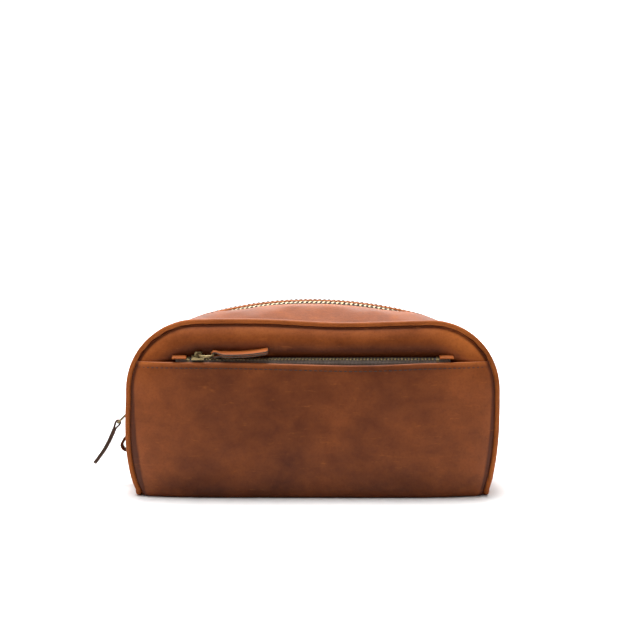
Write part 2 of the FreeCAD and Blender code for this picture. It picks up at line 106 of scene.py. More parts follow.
class KitBagSizes(bpy.types.PropertyGroup):
    """Sizes of the bag's form"""

    seam_radius: bpy.props.FloatProperty(
        name="Seam Corner", description="Radius of the D seam's upper corners",
        default=46.7 * MM, unit="LENGTH")
    seam_rise: bpy.props.FloatProperty(
        name="Seam Rise", description="How far the seam's top arc stands above its corners",
        default=1.0 * MM, unit="LENGTH")
    crown_radius: bpy.props.FloatProperty(
        name="Crown Corner", description="Radius of the zip line's upper corners",
        default=78.0 * MM, unit="LENGTH")
    crown_rise: bpy.props.FloatProperty(
        name="Crown Rise", description="How far the zip line's top arc stands above its corners",
        default=7.5 * MM, unit="LENGTH")
    leather: bpy.props.FloatProperty(
        name="Leather", description="Thickness of the body leather", default=1.7 * MM, unit="LENGTH")
    sag: bpy.props.FloatProperty(
        name="Sag", description="How far the long seams sink between their corners",
        default=3.1 * MM, unit="LENGTH")
    sag_place: bpy.props.FloatProperty(
        name="Sag Place", description="Where along the bag the seams sink most",
        default=20.0 * MM, unit="LENGTH")
    strip_puff: bpy.props.FloatProperty(
        name="Strip Puff", description="How far the top strip swells between its seams",
        default=1.6 * MM, unit="LENGTH")
    panel_roll: bpy.props.FloatProperty(
        name="Panel Roll", description="Height of the padded roll inside the front seam",
        default=5.5 * MM, unit="LENGTH")
    roll_width: bpy.props.FloatProperty(
        name="Roll Width", description="Width of the padded roll inside the front seam",
        default=25.0 * MM, unit="LENGTH")
    foot_fullness: bpy.props.FloatProperty(
        name="Foot Fullness", description="How far the end seams swell out near the floor",
        default=2.8 * MM, unit="LENGTH")
    back_drop: bpy.props.FloatProperty(
        name="Back Drop", description="How far the back seam hangs below the front one",
        default=5.0 * MM, unit="LENGTH")
    zip_lean: bpy.props.FloatProperty(
        name="Zip Lean", description="How far the zip's front edge lies below its rear edge",
        default=2.6 * MM, unit="LENGTH")
    back_dome: bpy.props.FloatProperty(
        name="Back Dome", description="How far the back panel stands out of its seam",
        default=4.5 * MM, unit="LENGTH")


class KitBagColours(bpy.types.PropertyGroup):
    """Colours of the bag's materials"""

    # The leather ramp runs from waxed brown through saddle brown to pulled tan; the shade attribute
    # pushes it towards the dark end for painted shade and towards the light end for painted highlights.
    leather_dark: bpy.props.FloatVectorProperty(
        name="Waxed Brown", description="Leather where the wax lies thick", subtype="COLOR",
        default=(0.088, 0.019, 0.0042))
    leather_mid: bpy.props.FloatVectorProperty(
        name="Saddle Brown", description="Body colour of the leather", subtype="COLOR",
        default=(0.262, 0.066, 0.0150))
    leather_light: bpy.props.FloatVectorProperty(
        name="Pulled Tan", description="Leather where it is stretched or rubbed", subtype="COLOR",
        default=(0.53, 0.150, 0.034))
    tape: bpy.props.FloatVectorProperty(
        name="Zip Tape", description="Colour of the woven tapes", subtype="COLOR",
        default=(0.048, 0.033, 0.024))
    brass: bpy.props.FloatVectorProperty(
        name="Antique Brass", description="Worn ridges of the metal", subtype="COLOR",
        default=(0.33, 0.25, 0.12))
    thread: bpy.props.FloatVectorProperty(
        name="Thread", description="Colour of the stitching", subtype="COLOR",
        default=(0.022, 0.009, 0.005))
    cloth: bpy.props.FloatVectorProperty(
        name="Lining", description="Colour of the cotton lining", subtype="COLOR",
        default=(0.30, 0.24, 0.17))


class KitBagStitches(bpy.types.PropertyGroup):
    """Sizes of the stitching and the zip teeth"""

    pitch: bpy.props.FloatProperty(
        name="Stitch Pitch", description="Distance from stitch to stitch",
        default=3.5 * MM, unit="LENGTH")
    length: bpy.props.FloatProperty(
        name="Stitch Length", description="Visible length of one stitch",
        default=2.7 * MM, unit="LENGTH")
    width: bpy.props.FloatProperty(
        name="Stitch Width", description="Thickness of the thread", default=0.75 * MM, unit="LENGTH")
    main_pitch: bpy.props.FloatProperty(
        name="Main Tooth Pitch", description="Distance from tooth to tooth on the main zip",
        default=3.4 * MM, unit="LENGTH")
    pocket_pitch: bpy.props.FloatProperty(
        name="Pocket Tooth Pitch", description="Distance from tooth to tooth on the pocket zip",
        default=2.4 * MM, unit="LENGTH")


def sizes():
    return bpy.context.scene.kit_bag_sizes


def colours():
    return bpy.context.scene.kit_bag_colours


def stitches():
    return bpy.context.scene.kit_bag_stitches


# ---------------------------------------------------------------- the bag's form


def arc(centre_x, centre_z, radius, start, end, count=48):
    angles = np.linspace(start, end, count)
    return np.stack([centre_x + radius * np.cos(angles), centre_z + radius * np.sin(angles)], 1)


def outline(share, inset=0.0):
    """Right half of the D section from the foot to the top centre, as x and z."""
    s = sizes()
    half_width = HALF_WIDTH + (CROWN_HALF_WIDTH - HALF_WIDTH) * share
    height = SEAM_HEIGHT + (CROWN_HEIGHT - SEAM_HEIGHT) * share
    radius = s.seam_radius + (s.crown_radius - s.seam_radius) * share
    rise = s.seam_rise + (s.crown_rise - s.seam_rise) * share
    corner_x = half_width - radius
    corner_z = height - rise - radius
    span = corner_x ** 2 + (height - corner_z) ** 2 - radius ** 2
    top_radius = span / (2 * rise)
    sweep = math.atan2(corner_z - (height - top_radius), corner_x)
    out = half_width - FOOT_HALF_WIDTH
    up = corner_z - FOOT_RADIUS
    bow = (out ** 2 + up ** 2) / (2 * out)
    lean = math.asin(up / bow)
    side = arc(half_width - inset - bow, corner_z, bow, -lean, 0.0)
    corner = arc(corner_x, corner_z, radius - inset, 0.0, sweep)
    top = arc(0.0, height - top_radius, top_radius - inset, sweep, math.pi / 2)
    return np.concatenate([side, corner[1:], top[1:]])


def full_outline(share, inset=0.0):
    """The whole D from the left foot over the top to the right foot."""
    right = outline(share, inset)
    left = right * np.array([-1.0, 1.0])
    return np.concatenate([left, right[::-1][1:]])


def foot_arc():
    """Small rounded corner between the base line and the foot of the side."""
    turn = np.linspace(math.pi / 2, 0, 8)[:-1]
    return np.stack([FOOT_HALF_WIDTH - 3.5 * MM * (1 - np.cos(turn)),
                     FOOT_RADIUS - 4.7 * MM * np.sin(turn)], 1)


def seam_half(z):
    """Half width of the D seam at height z."""
    right = np.concatenate([foot_arc(), outline(0.0)[:80]])
    return np.interp(z, right[:, 1], right[:, 0])


def crown_half(z):
    """Half width of the fullest section at height z, below its corner."""
    right = outline(1.0)[:48]
    return float(np.interp(z, right[:, 1], right[:, 0]))


def resampled(points, count=None, places=None):
    """Points at even arc lengths, or at the given shares of the length."""
    steps = np.linalg.norm(np.diff(points, axis=0), axis=1)
    run = np.concatenate([[0.0], np.cumsum(steps)])
    at = np.linspace(0, 1, count) if places is None else np.asarray(places)
    at = at * run[-1]
    return np.stack([np.interp(at, run, points[:, k]) for k in range(points.shape[1])], 1)


def crown_share(y):
    """How much of the crown's fullness the section at depth y has."""
    reach = np.clip((HALF_DEPTH - np.abs(y)) / (HALF_DEPTH - ZIP_HALF_OPENING), 0.0, 1.0)
    return float(np.sin(reach * math.pi / 2))


def crest(x):
    """One over the middle of the zip line, fading out before its corners."""
    return 1 - smooth_step(np.abs(x), 46 * MM, 84 * MM)


def filled_out(points):
    """The end seams stand fuller near the floor, the left one most."""
    s = sizes()
    x, y, z = points[..., 0], points[..., 1], points[..., 2]
    climb = np.clip((z - 4 * MM) / (66 * MM), 0, 1) ** 0.6
    edge = np.clip(np.abs(y) / HALF_DEPTH, 0, 1) ** 1.5
    amount = np.where(x < 0, s.foot_fullness, 0.45 * s.foot_fullness)
    moved = points.copy()
    moved[..., 0] = x + np.sign(x) * amount * np.sin(math.pi * climb) * edge \
        * np.clip((np.abs(x) - 95 * MM) / (25 * MM), 0, 1)
    return moved


def sagged(points):
    """The long seams sink between their corners, the back more so, and the zip leans forward."""
    s = sizes()
    x, y, z = points[..., 0], points[..., 1], points[..., 2]
    wide = np.where(x < s.sag_place, 44 * MM, 56 * MM)
    dip = 0.7 * MM + s.sag * np.exp(-((x - s.sag_place) / wide) ** 2)
    rise = np.clip((z - 60 * MM) / (SEAM_HEIGHT - 60 * MM), 0.0, 1.2) ** 1.5
    edge = np.clip(np.abs(y) / HALF_DEPTH, 0.0, 1.0) ** 1.5
    behind = s.back_drop * np.clip(y / HALF_DEPTH, 0.0, 1.0) ** 1.3 * np.clip(rise, 0, 1)
    ahead = np.clip((ZIP_HALF_OPENING - y) / (2 * ZIP_HALF_OPENING), 0, 1)
    ahead = ahead * (1 - smooth_step(-y, ZIP_HALF_OPENING, HALF_DEPTH - 10 * MM))
    lean = s.zip_lean * ahead * crest(x) * (z > 90 * MM)
    moved = filled_out(points)
    moved[..., 2] = z - dip * rise * edge - behind - lean
    return moved


def strip_grid(y_values, places, inset=0.0, puff=0.0):
    """Grid on the strip's surface: rows along the outline, columns across the depth."""
    columns = []
    for y in y_values:
        section = resampled(full_outline(crown_share(y), inset), places=places)
        columns.append(np.stack([section[:, 0], np.full(len(section), y), section[:, 1]], 1))
    grid = np.stack(columns, 1)
    reach = np.clip((HALF_DEPTH - np.abs(np.asarray(y_values))) / (HALF_DEPTH - ZIP_HALF_OPENING), 0, 1)
    if puff:
        grid = grid + normals(grid, 1) * (puff * np.sin(reach * math.pi) ** 0.8)[None, :, None]
    return sagged(grid)


def strip_places(z_low, z_high=None, count=120):
    """Shares of the outline's length that lie over height z_low on both sides."""
    section = full_outline(1.0)
    steps = np.linalg.norm(np.diff(section, axis=0), axis=1)
    run = np.concatenate([[0.0], np.cumsum(steps)]) / steps.sum()
    climb = section[: len(section) // 2]
    start = float(np.interp(z_low, climb[:, 1], run[: len(climb)]))
    if z_high is None:
        return np.linspace(start, 1 - start, count)
    end = float(np.interp(z_high, climb[:, 1], run[: len(climb)]))
    return np.linspace(start, end, count)


def normals(grid, sign):
    """Unit normals of a grid of points, turned by sign."""
    along = np.gradient(grid, axis=0)
    across = np.gradient(grid, axis=1)
    normal = np.cross(along, across)
    length = np.linalg.norm(normal, axis=-1, keepdims=True)
    return sign * normal / np.maximum(length, 1e-12)


# ---------------------------------------------------------------- meshes


def new_object(name, mesh, material=None):
    piece = bpy.data.objects.new(name, mesh)
    bpy.context.scene.collection.objects.link(piece)
    if material is not None:
        mesh.materials.clear()
        mesh.materials.append(material)
    return piece


def boundary(rows, columns):
    """Grid places round the edge, in order."""
    ring = [(i, 0) for i in range(rows)]
    ring += [(rows - 1, j) for j in range(1, columns)]
    ring += [(i, columns - 1) for i in range(rows - 2, -1, -1)]
    ring += [(0, j) for j in range(columns - 2, 0, -1)]
    return ring


def shell_mesh(name, grid, thickness, sign, shade=None):
    """Closed sheet of leather or cloth: a grid, its inner face and a rounded rim between them."""
    rows, columns = grid.shape[:2]
    facing = normals(grid, sign)
    inner = grid - facing * thickness
    middle = (grid + inner) / 2
    ring = boundary(rows, columns)
    rim = []
    for i, j in ring:
        back = (min(max(i, 1), rows - 2), min(max(j, 1), columns - 2))
        out = grid[i, j] - grid[back]
        out /= max(np.linalg.norm(out), 1e-9)
        rim.append(middle[i, j] + out * thickness * 0.4)
    points = np.concatenate([grid.reshape(-1, 3), inner.reshape(-1, 3), np.array(rim)])
    total = rows * columns
    faces = []
    for i in range(rows - 1):
        for j in range(columns - 1):
            a, b = i * columns + j, (i + 1) * columns + j
            face = (a, b, b + 1, a + 1)
            faces.append(face if sign > 0 else face[::-1])
            other = tuple(v + total for v in face)
            faces.append(other[::-1] if sign > 0 else other)
    for k, (i, j) in enumerate(ring):
        i2, j2 = ring[(k + 1) % len(ring)]
        a, b = i * columns + j, i2 * columns + j2
        r, r2 = 2 * total + k, 2 * total + (k + 1) % len(ring)
        upper = (a, r, r2, b)
        lower = (a + total, b + total, r2, r)
        faces.append(upper if sign < 0 else upper[::-1])
        faces.append(lower if sign < 0 else lower[::-1])
    mesh = bpy.data.meshes.new(name)
    mesh.from_pydata(points.tolist(), [], faces)
    mesh.shade_smooth()
    add_run_uv(mesh, grid, ring)
    if shade is not None:
        values = np.concatenate([shade.reshape(-1), shade.reshape(-1), [shade[i, j] for i, j in ring]])
        add_shade(mesh, values)
    return mesh


# The shade values are added to the leather material's colour: painted highlights and painted shade on
# the front panel, pocket, strips and end panels, and a fixed lighter or darker tone on the small
# pieces.
def add_shade(mesh, values):
    attribute = mesh.attributes.new("shade", "FLOAT", "POINT")
    attribute.data.foreach_set("value", np.asarray(values, np.float32))


def add_run_uv(mesh, grid, ring):
    """UV map in metres: U runs along the grid's rows and V across them."""
    along = np.linalg.norm(np.diff(grid, axis=0), axis=-1).mean(1)
    across = np.linalg.norm(np.diff(grid, axis=1), axis=-1).mean(0)
    u = np.concatenate([[0.0], np.cumsum(along)])
    v = np.concatenate([[0.0], np.cumsum(across)])
    pairs = np.stack(np.meshgrid(u, v, indexing="ij"), -1).reshape(-1, 2)
    ends = np.array([[u[i], v[j]] for i, j in ring])
    by_vertex = np.concatenate([pairs, pairs, ends])
    layer = mesh.uv_layers.new(name="run")
    corner = np.zeros(len(mesh.loops), np.int32)
    mesh.loops.foreach_get("vertex_index", corner)
    layer.data.foreach_set("uv", by_vertex[corner].astype(np.float32).ravel())


def tube_mesh(name, path, radius, segments=20, wobble=0.0, seed=1):
    """Round tube round a closed path of points."""
    path = np.asarray(path, float)
    count = len(path)
    tangent = np.roll(path, -1, 0) - np.roll(path, 1, 0)
    tangent /= np.linalg.norm(tangent, axis=1, keepdims=True)
    side = np.zeros_like(path)
    start = np.cross(tangent[0], [0.0, 1.0, 0.0])
    if np.linalg.norm(start) < 0.1:
        start = np.cross(tangent[0], [1.0, 0.0, 0.0])
    side[0] = start / np.linalg.norm(start)
    for k in range(1, count):
        guess = side[k - 1] - tangent[k] * (side[k - 1] @ tangent[k])
        side[k] = guess / np.linalg.norm(guess)
    other = np.cross(tangent, side)
    end = side[-1] - tangent[0] * (side[-1] @ tangent[0])
    twist = -math.atan2(end @ other[0], end @ side[0]) / count
    size = np.full(count, radius)
    if wobble:
        rough = np.random.default_rng(seed).normal(size=count)
        kernel = np.hanning(15)
        size = size + 2 * wobble * np.convolve(rough, kernel / kernel.sum(), "same")
    angles = np.linspace(0, 2 * math.pi, segments, endpoint=False)
    turn = angles + twist * np.arange(count)[:, None]
    rings = path[:, None] + size[:, None, None] * (np.cos(turn)[..., None] * side[:, None]
                                                   + np.sin(turn)[..., None] * other[:, None])
    faces = []
    for k in range(count):
        here, there = k * segments, (k + 1) % count * segments
        for m in range(segments):
            beside = (m + 1) % segments
            faces.append((here + m, here + beside, there + beside, there + m))
    mesh = bpy.data.meshes.new(name)
    mesh.from_pydata(rings.reshape(-1, 3).tolist(), [], faces)
    mesh.shade_smooth()
    outward_faces(mesh)
    return mesh


def outward_faces(mesh):
    work = bmesh.new()
    work.from_mesh(mesh)
    bmesh.ops.recalc_face_normals(work, faces=work.faces)
    work.to_mesh(mesh)
    work.free()


def strap_mesh(name, line, half_width, thickness, place):
    """Folded strap: a line in its own x-z plane, as wide as half_width says, put in place."""
    round_steps, edge_share = 5, 0.35
    line = np.asarray(line, float)
    tangent = np.gradient(line, axis=0)
    tangent /= np.linalg.norm(tangent, axis=1, keepdims=True)
    normal = np.stack([-tangent[:, 1], tangent[:, 0]], 1)
    turns = [math.pi / 2 - math.pi * k / (round_steps - 1) for k in range(round_steps)]
    profile = [(math.cos(a) * edge_share, math.sin(a) * 0.5) for a in turns]
    ring = [(1, a, b) for a, b in profile] + [(-1, -a, b) for a, b in profile[::-1]]
    points = []
    for k in range(len(line)):
        for sign, out, up in ring:
            width = half_width[k] - edge_share * thickness
            y = sign * width + out * thickness
            offset = normal[k] * (up * thickness)
            local = Vector((line[k, 0] + offset[0], y, line[k, 1] + offset[1]))
            points.append(place @ local)
    size = len(ring)
    faces = []
    for k in range(len(line) - 1):
        for m in range(size):
            a, b = k * size + m, k * size + (m + 1) % size
            faces.append((a, b, b + size, a + size))
    faces.append(tuple(range(size))[::-1])
    faces.append(tuple((len(line) - 1) * size + m for m in range(size)))
    mesh = bpy.data.meshes.new(name)
    mesh.from_pydata([tuple(p) for p in points], [], faces)
    outward_faces(mesh)
    mesh.shade_smooth()
    return mesh


def finish_piece(piece, body, slot, *nodes):
    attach(piece, body)
    if nodes:
        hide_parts(*nodes)
    return piece


# ---------------------------------------------------------------- cloth


def relaxed(grid, pinned, pressure, cap, sign=1, slack=0.0):
    """Lets a panel find its own shape between the edges that its seams hold."""
    frames = 18
    rows, columns = grid.shape[:2]
    faces = []
    for i in range(rows - 1):
        for j in range(columns - 1):
            a, b = i * columns + j, (i + 1) * columns + j
            face = (a, b, b + 1, a + 1)
            faces.append(face if sign > 0 else face[::-1])
    mesh = bpy.data.meshes.new("relaxing")
    mesh.from_pydata(grid.reshape(-1, 3).tolist(), [], faces)
    work = new_object("relaxing", mesh)
    group = work.vertex_groups.new(name="pins")
    flat = pinned.reshape(-1)
    for value in np.unique(flat[flat > 0]):
        group.add(np.nonzero(flat == value)[0].tolist(), float(value), "REPLACE")
    cloth = work.modifiers.new("cloth", "CLOTH")
    settings = cloth.settings
    settings.quality = 6
    settings.mass = 0.4
    settings.tension_stiffness = 60
    settings.compression_stiffness = 60
    settings.shear_stiffness = 20
    settings.bending_stiffness = 8
    settings.air_damping = 2.0
    settings.vertex_group_mass = "pins"
    settings.pin_stiffness = 40
    settings.use_pressure = True
    settings.uniform_pressure_force = pressure
    settings.shrink_min = -slack
    settings.effector_weights.gravity = 0.0
    cloth.collision_settings.use_collision = False
    cloth.point_cache.frame_start = 1
    cloth.point_cache.frame_end = frames
    for frame_number in range(1, frames + 1):
        bpy.context.scene.frame_set(frame_number)
    evaluated = work.evaluated_get(bpy.context.evaluated_depsgraph_get())
    moved = np.zeros(rows * columns * 3)
    evaluated.data.vertices.foreach_get("co", moved)
    bpy.data.objects.remove(work)
    bpy.context.scene.frame_set(1)
    free = softened((pinned < 1).astype(float)[..., None])
    shift = softened(moved.reshape(grid.shape) - grid) * np.clip(2 * free - 1, 0, 1)
    size = np.linalg.norm(shift, axis=-1, keepdims=True)
    return grid + shift * np.minimum(1.0, cap / np.maximum(size, 1e-9))


def softened(shift, passes=6):
    """Evens out a field of shifts so that a panel swells without sharp folds."""
    for _ in range(passes):
        for axis in (0, 1):
            padded = np.concatenate([shift.take([0], axis), shift, shift.take([-1], axis)], axis)
            size = shift.shape[axis]
            shift = (padded.take(range(size), axis) + 2 * shift
                     + padded.take(range(2, size + 2), axis)) / 4
    return shift


def pins_at_edges(grid):
    """Holds the outermost points of a grid."""
    pinned = np.ones(grid.shape[:2])
    pinned[1:-1, 1:-1] = 0
    return pinned


# ---------------------------------------------------------------- materials


class Nodes:
    """Short way to write a material's nodes"""

    def __init__(self, name):
        self.material = bpy.data.materials.new(name)
        self.material.use_nodes = True
        self.tree = self.material.node_tree
        self.shader = self.tree.nodes["Principled BSDF"]

    def add(self, kind, **settings):
        node = self.tree.nodes.new("ShaderNode" + kind)
        for key, value in settings.items():
            setattr(node, key, value)
        return node

    def link(self, source, target):
        self.tree.links.new(source, target)

    def fill(self, node, **values):
        """Sets sockets by name: a number, a colour or another node's output."""
        for key, value in values.items():
            socket = node.inputs[key.replace("_", " ")]
            if isinstance(value, bpy.types.NodeSocket):
                self.link(value, socket)
            else:
                socket.default_value = value
        return node

    def objects(self, stretch=(1, 1, 1)):
        coordinates = self.add("TexCoord").outputs["Object"]
        mapping = self.add("Mapping")
        mapping.inputs["Scale"].default_value = stretch
        self.link(coordinates, mapping.inputs["Vector"])
        return mapping.outputs["Vector"]

    def noise(self, vector, scale, detail=4.0, roughness=0.5, distortion=0.0):
        node = self.add("TexNoise")
        self.fill(node, Vector=vector, Scale=scale, Detail=detail, Roughness=roughness,
                  Distortion=distortion)
        return node.outputs["Fac"]

    def cells(self, vector, scale, feature="F1"):
        node = self.add("TexVoronoi", feature=feature)
        self.fill(node, Vector=vector, Scale=scale)
        return node.outputs["Distance"]

    def ramp(self, value, stops):
        node = self.add("ValToRGB")
        self.link(value, node.inputs["Fac"])
        elements = node.color_ramp.elements
        while len(elements) < len(stops):
            elements.new(0.5)
        for element, (place, colour) in zip(elements, stops):
            element.position = place
            element.color = (*colour, 1.0) if len(colour) == 3 else colour
        return node.outputs["Color"]

    def levels(self, value, low_in, high_in, low_out=0.0, high_out=1.0):
        node = self.add("MapRange")
        self.link(value, node.inputs["Value"])
        for key, number in (("From Min", low_in), ("From Max", high_in), ("To Min", low_out),
                            ("To Max", high_out)):
            node.inputs[key].default_value = number
        return node.outputs["Result"]

    def math(self, operation, a, b=0.0):
        node = self.add("Math", operation=operation)
        for socket, value in zip(node.inputs, (a, b)):
            if isinstance(value, bpy.types.NodeSocket):
                self.link(value, socket)
            else:
                socket.default_value = value
        return node.outputs["Value"]

    def mix(self, factor, a, b, blend="MIX"):
        node = self.add("Mix", data_type="RGBA", blend_type=blend)
        for socket, value in ((node.inputs[0], factor), (node.inputs[6], a), (node.inputs[7], b)):
            if isinstance(value, bpy.types.NodeSocket):
                self.link(value, socket)
            elif isinstance(value, (int, float)):
                socket.default_value = value
            else:
                socket.default_value = (*value, 1.0)
        return node.outputs[2]

    def bump(self, height, strength, distance, below=None):
        node = self.add("Bump")
        self.fill(node, Height=height, Strength=strength, Distance=distance)
        if below is not None:
            self.link(below, node.inputs["Normal"])
        return node.outputs["Normal"]

    def shade(self):
        return self.add("Attribute", attribute_name="shade").outputs["Fac"]


def leather_material(name, light=0.0, grain=1.0, gloss=0.09):
    """Waxed pull-up leather: cloudy colour, fine pores and soft scuffs; the shade attribute lifts or
    lowers the colour, which on some pieces is painted highlight and painted shade.
    """
    c = colours()
    n = Nodes(name)
    place = n.objects()
    clouds = n.noise(place, 17.0, 5.0, 0.58, 0.7)
    patches = n.noise(n.objects((1.0, 1.0, 1.6)), 52.0, 4.0, 0.6, 0.4)
    blend = n.math("ADD", n.math("MULTIPLY", clouds, 0.62), n.math("MULTIPLY", patches, 0.38))
    # The shade attribute is added here: painted highlights and painted shade on some pieces.
    lifted = n.math("ADD", n.levels(blend, 0.34, 0.68, 0.22, 0.62), n.math("ADD", n.shade(), light))
    colour = n.ramp(lifted, [(0.0, c.leather_dark), (0.45, c.leather_mid), (1.0, c.leather_light)])
    scuff = n.levels(n.noise(n.objects((1.0, 1.0, 5.0)), 75.0, 6.0, 0.7), 0.60, 0.72)
    colour = n.mix(n.math("MULTIPLY", scuff, 0.30), colour, c.leather_light)
    freckle = n.levels(n.noise(place, 620.0, 3.0, 0.6), 0.30, 0.70, 0.86, 1.08)
    colour = n.mix(1.0, colour, n.ramp(freckle, [(0.0, (0, 0, 0)), (1.0, (1, 1, 1))]), "MULTIPLY")
    n.link(colour, n.shader.inputs["Base Color"])
    rough = n.levels(n.math("ADD", n.math("MULTIPLY", patches, 0.7), n.math("MULTIPLY", scuff, 0.4)),
                     0.25, 0.75, 0.40, 0.60)
    n.link(rough, n.shader.inputs["Roughness"])
    n.shader.inputs["Specular IOR Level"].default_value = gloss
    n.shader.inputs["Coat Weight"].default_value = 0.03
    n.shader.inputs["Coat Roughness"].default_value = 0.35
    pores = n.cells(n.objects(), 780.0 * grain, "SMOOTH_F1")
    creases = n.cells(n.objects((1.0, 1.0, 0.8)), 310.0 * grain, "DISTANCE_TO_EDGE")
    fine = n.bump(pores, 0.22, 0.00018)
    folds = n.bump(n.levels(creases, 0.0, 0.12), 0.10, 0.00022, fine)
    waves = n.bump(n.noise(place, 38.0, 3.0, 0.5), 0.22, 0.0022, folds)
    n.link(waves, n.shader.inputs["Normal"])
    return n.material


def edge_material():
    """Cut leather edges: pale fibres in layers, darkened by handling."""
    n = Nodes("cut_edge")
    fibres = n.noise(n.objects(), 900.0, 5.0, 0.7)
    colour = n.ramp(fibres, [(0.25, (0.022, 0.015, 0.011)), (0.75, (0.11, 0.080, 0.058))])
    n.link(colour, n.shader.inputs["Base Color"])
    n.shader.inputs["Roughness"].default_value = 0.85
    n.link(n.bump(fibres, 0.6, 0.0003), n.shader.inputs["Normal"])
    return n.material


def tape_material():
    """Woven zip tape: a herringbone of fine ribs across the run."""
    c = colours()
    n = Nodes("zip_tape")
    place = n.add("UVMap", uv_map="run").outputs["UV"]
    ribs = n.add("TexWave", wave_type="BANDS", bands_direction="X", wave_profile="SIN")
    n.fill(ribs, Vector=place, Scale=330.0, Distortion=1.2, Detail=2.0, Detail_Scale=2.0)
    lines = n.add("TexWave", wave_type="BANDS", bands_direction="Y", wave_profile="SIN")
    n.fill(lines, Vector=place, Scale=420.0, Distortion=0.6)
    weave = n.math("MULTIPLY", ribs.outputs["Fac"], n.levels(lines.outputs["Fac"], 0, 1, 0.6, 1.0))
    dust = n.noise(n.objects(), 140.0, 4.0)
    pale = tuple(min(1.0, value * 4.2 + 0.03) for value in c.tape)
    colour = n.mix(n.math("MULTIPLY", weave, n.levels(dust, 0.3, 0.7, 0.4, 1.0)), c.tape, pale)
    n.link(colour, n.shader.inputs["Base Color"])
    n.shader.inputs["Roughness"].default_value = 0.88
    n.shader.inputs["Sheen Weight"].default_value = 0.25
    n.link(n.bump(weave, 0.7, 0.00025), n.shader.inputs["Normal"])
    return n.material


def brass_material(name, bright=0.5):
    """Antique brass: dark in the hollows and rubbed bright on the ridges."""
    c = colours()
    n = Nodes(name)
    tarnish = n.noise(n.objects(), 260.0, 5.0, 0.65, 0.3)
    ridge = n.add("NewGeometry").outputs["Pointiness"]
    worn = n.math("ADD", n.levels(ridge, 0.49, 0.56), n.levels(tarnish, 0.35, 0.75, -0.2, bright))
    dark = tuple(value * 0.22 for value in c.brass)
    colour = n.mix(n.levels(worn, 0.0, 1.0), dark, c.brass)
    n.link(colour, n.shader.inputs["Base Color"])
    n.shader.inputs["Metallic"].default_value = 1.0
    n.link(n.levels(tarnish, 0.3, 0.7, 0.28, 0.5), n.shader.inputs["Roughness"])
    n.link(n.bump(n.noise(n.objects(), 1400.0, 3.0), 0.15, 0.0001), n.shader.inputs["Normal"])
    return n.material


def thread_material():
    """Waxed polyester thread with its twist."""
    c = colours()
    n = Nodes("thread")
    twist = n.noise(n.objects(), 2400.0, 2.0)
    pale = tuple(min(1.0, value * 2.4) for value in c.thread)
    n.link(n.mix(twist, c.thread, pale), n.shader.inputs["Base Color"])
    n.shader.inputs["Roughness"].default_value = 0.6
    n.link(n.bump(twist, 0.5, 0.0001), n.shader.inputs["Normal"])
    return n.material


def cloth_material(name, colour, scale=1500.0):
    """Plain cotton cloth with a fine weave."""
    n = Nodes(name)
    place = n.objects()
    warp = n.cells(place, scale)
    slub = n.noise(place, 90.0, 4.0)
    dark = tuple(value * 0.7 for value in colour)
    n.link(n.mix(n.levels(slub, 0.3, 0.7), dark, colour), n.shader.inputs["Base Color"])
    n.shader.inputs["Roughness"].default_value = 0.9
    n.shader.inputs["Sheen Weight"].default_value = 0.3
    n.link(n.bump(warp, 0.4, 0.0002), n.shader.inputs["Normal"])
    return n.material


MATERIALS = {}


def dress(node, material):
    """Gives a carried-over CAD node its material."""
    mesh = frame["nodes"][node].data
    mesh.materials.clear()
    mesh.materials.append(MATERIALS[material])


def make_materials():
    c = colours()
    MATERIALS["body"] = leather_material("bag_leather")
    MATERIALS["pocket"] = leather_material("pocket_leather", gloss=0.16)
    MATERIALS["strip"] = leather_material("strip_leather", gloss=0.05)
    MATERIALS["piping"] = leather_material("piping_leather", light=0.20, grain=1.2, gloss=0.05)
    MATERIALS["trim"] = leather_material("trim_leather", light=0.05, grain=1.2)
    MATERIALS["edge"] = edge_material()
    MATERIALS["tape"] = tape_material()
    MATERIALS["brass"] = brass_material("antique_brass", 0.45)
    MATERIALS["teeth"] = brass_material("zip_metal", 0.8)
    MATERIALS["thread"] = thread_material()
    MATERIALS["cloth"] = cloth_material("lining_cloth", c.cloth)
    MATERIALS["cord"] = cloth_material("filler_cord", (0.5, 0.46, 0.38), 900.0)
    MATERIALS["board"] = cloth_material("base_board", (0.3, 0.23, 0.15), 400.0)


# ---------------------------------------------------------------- rows of stitches and teeth


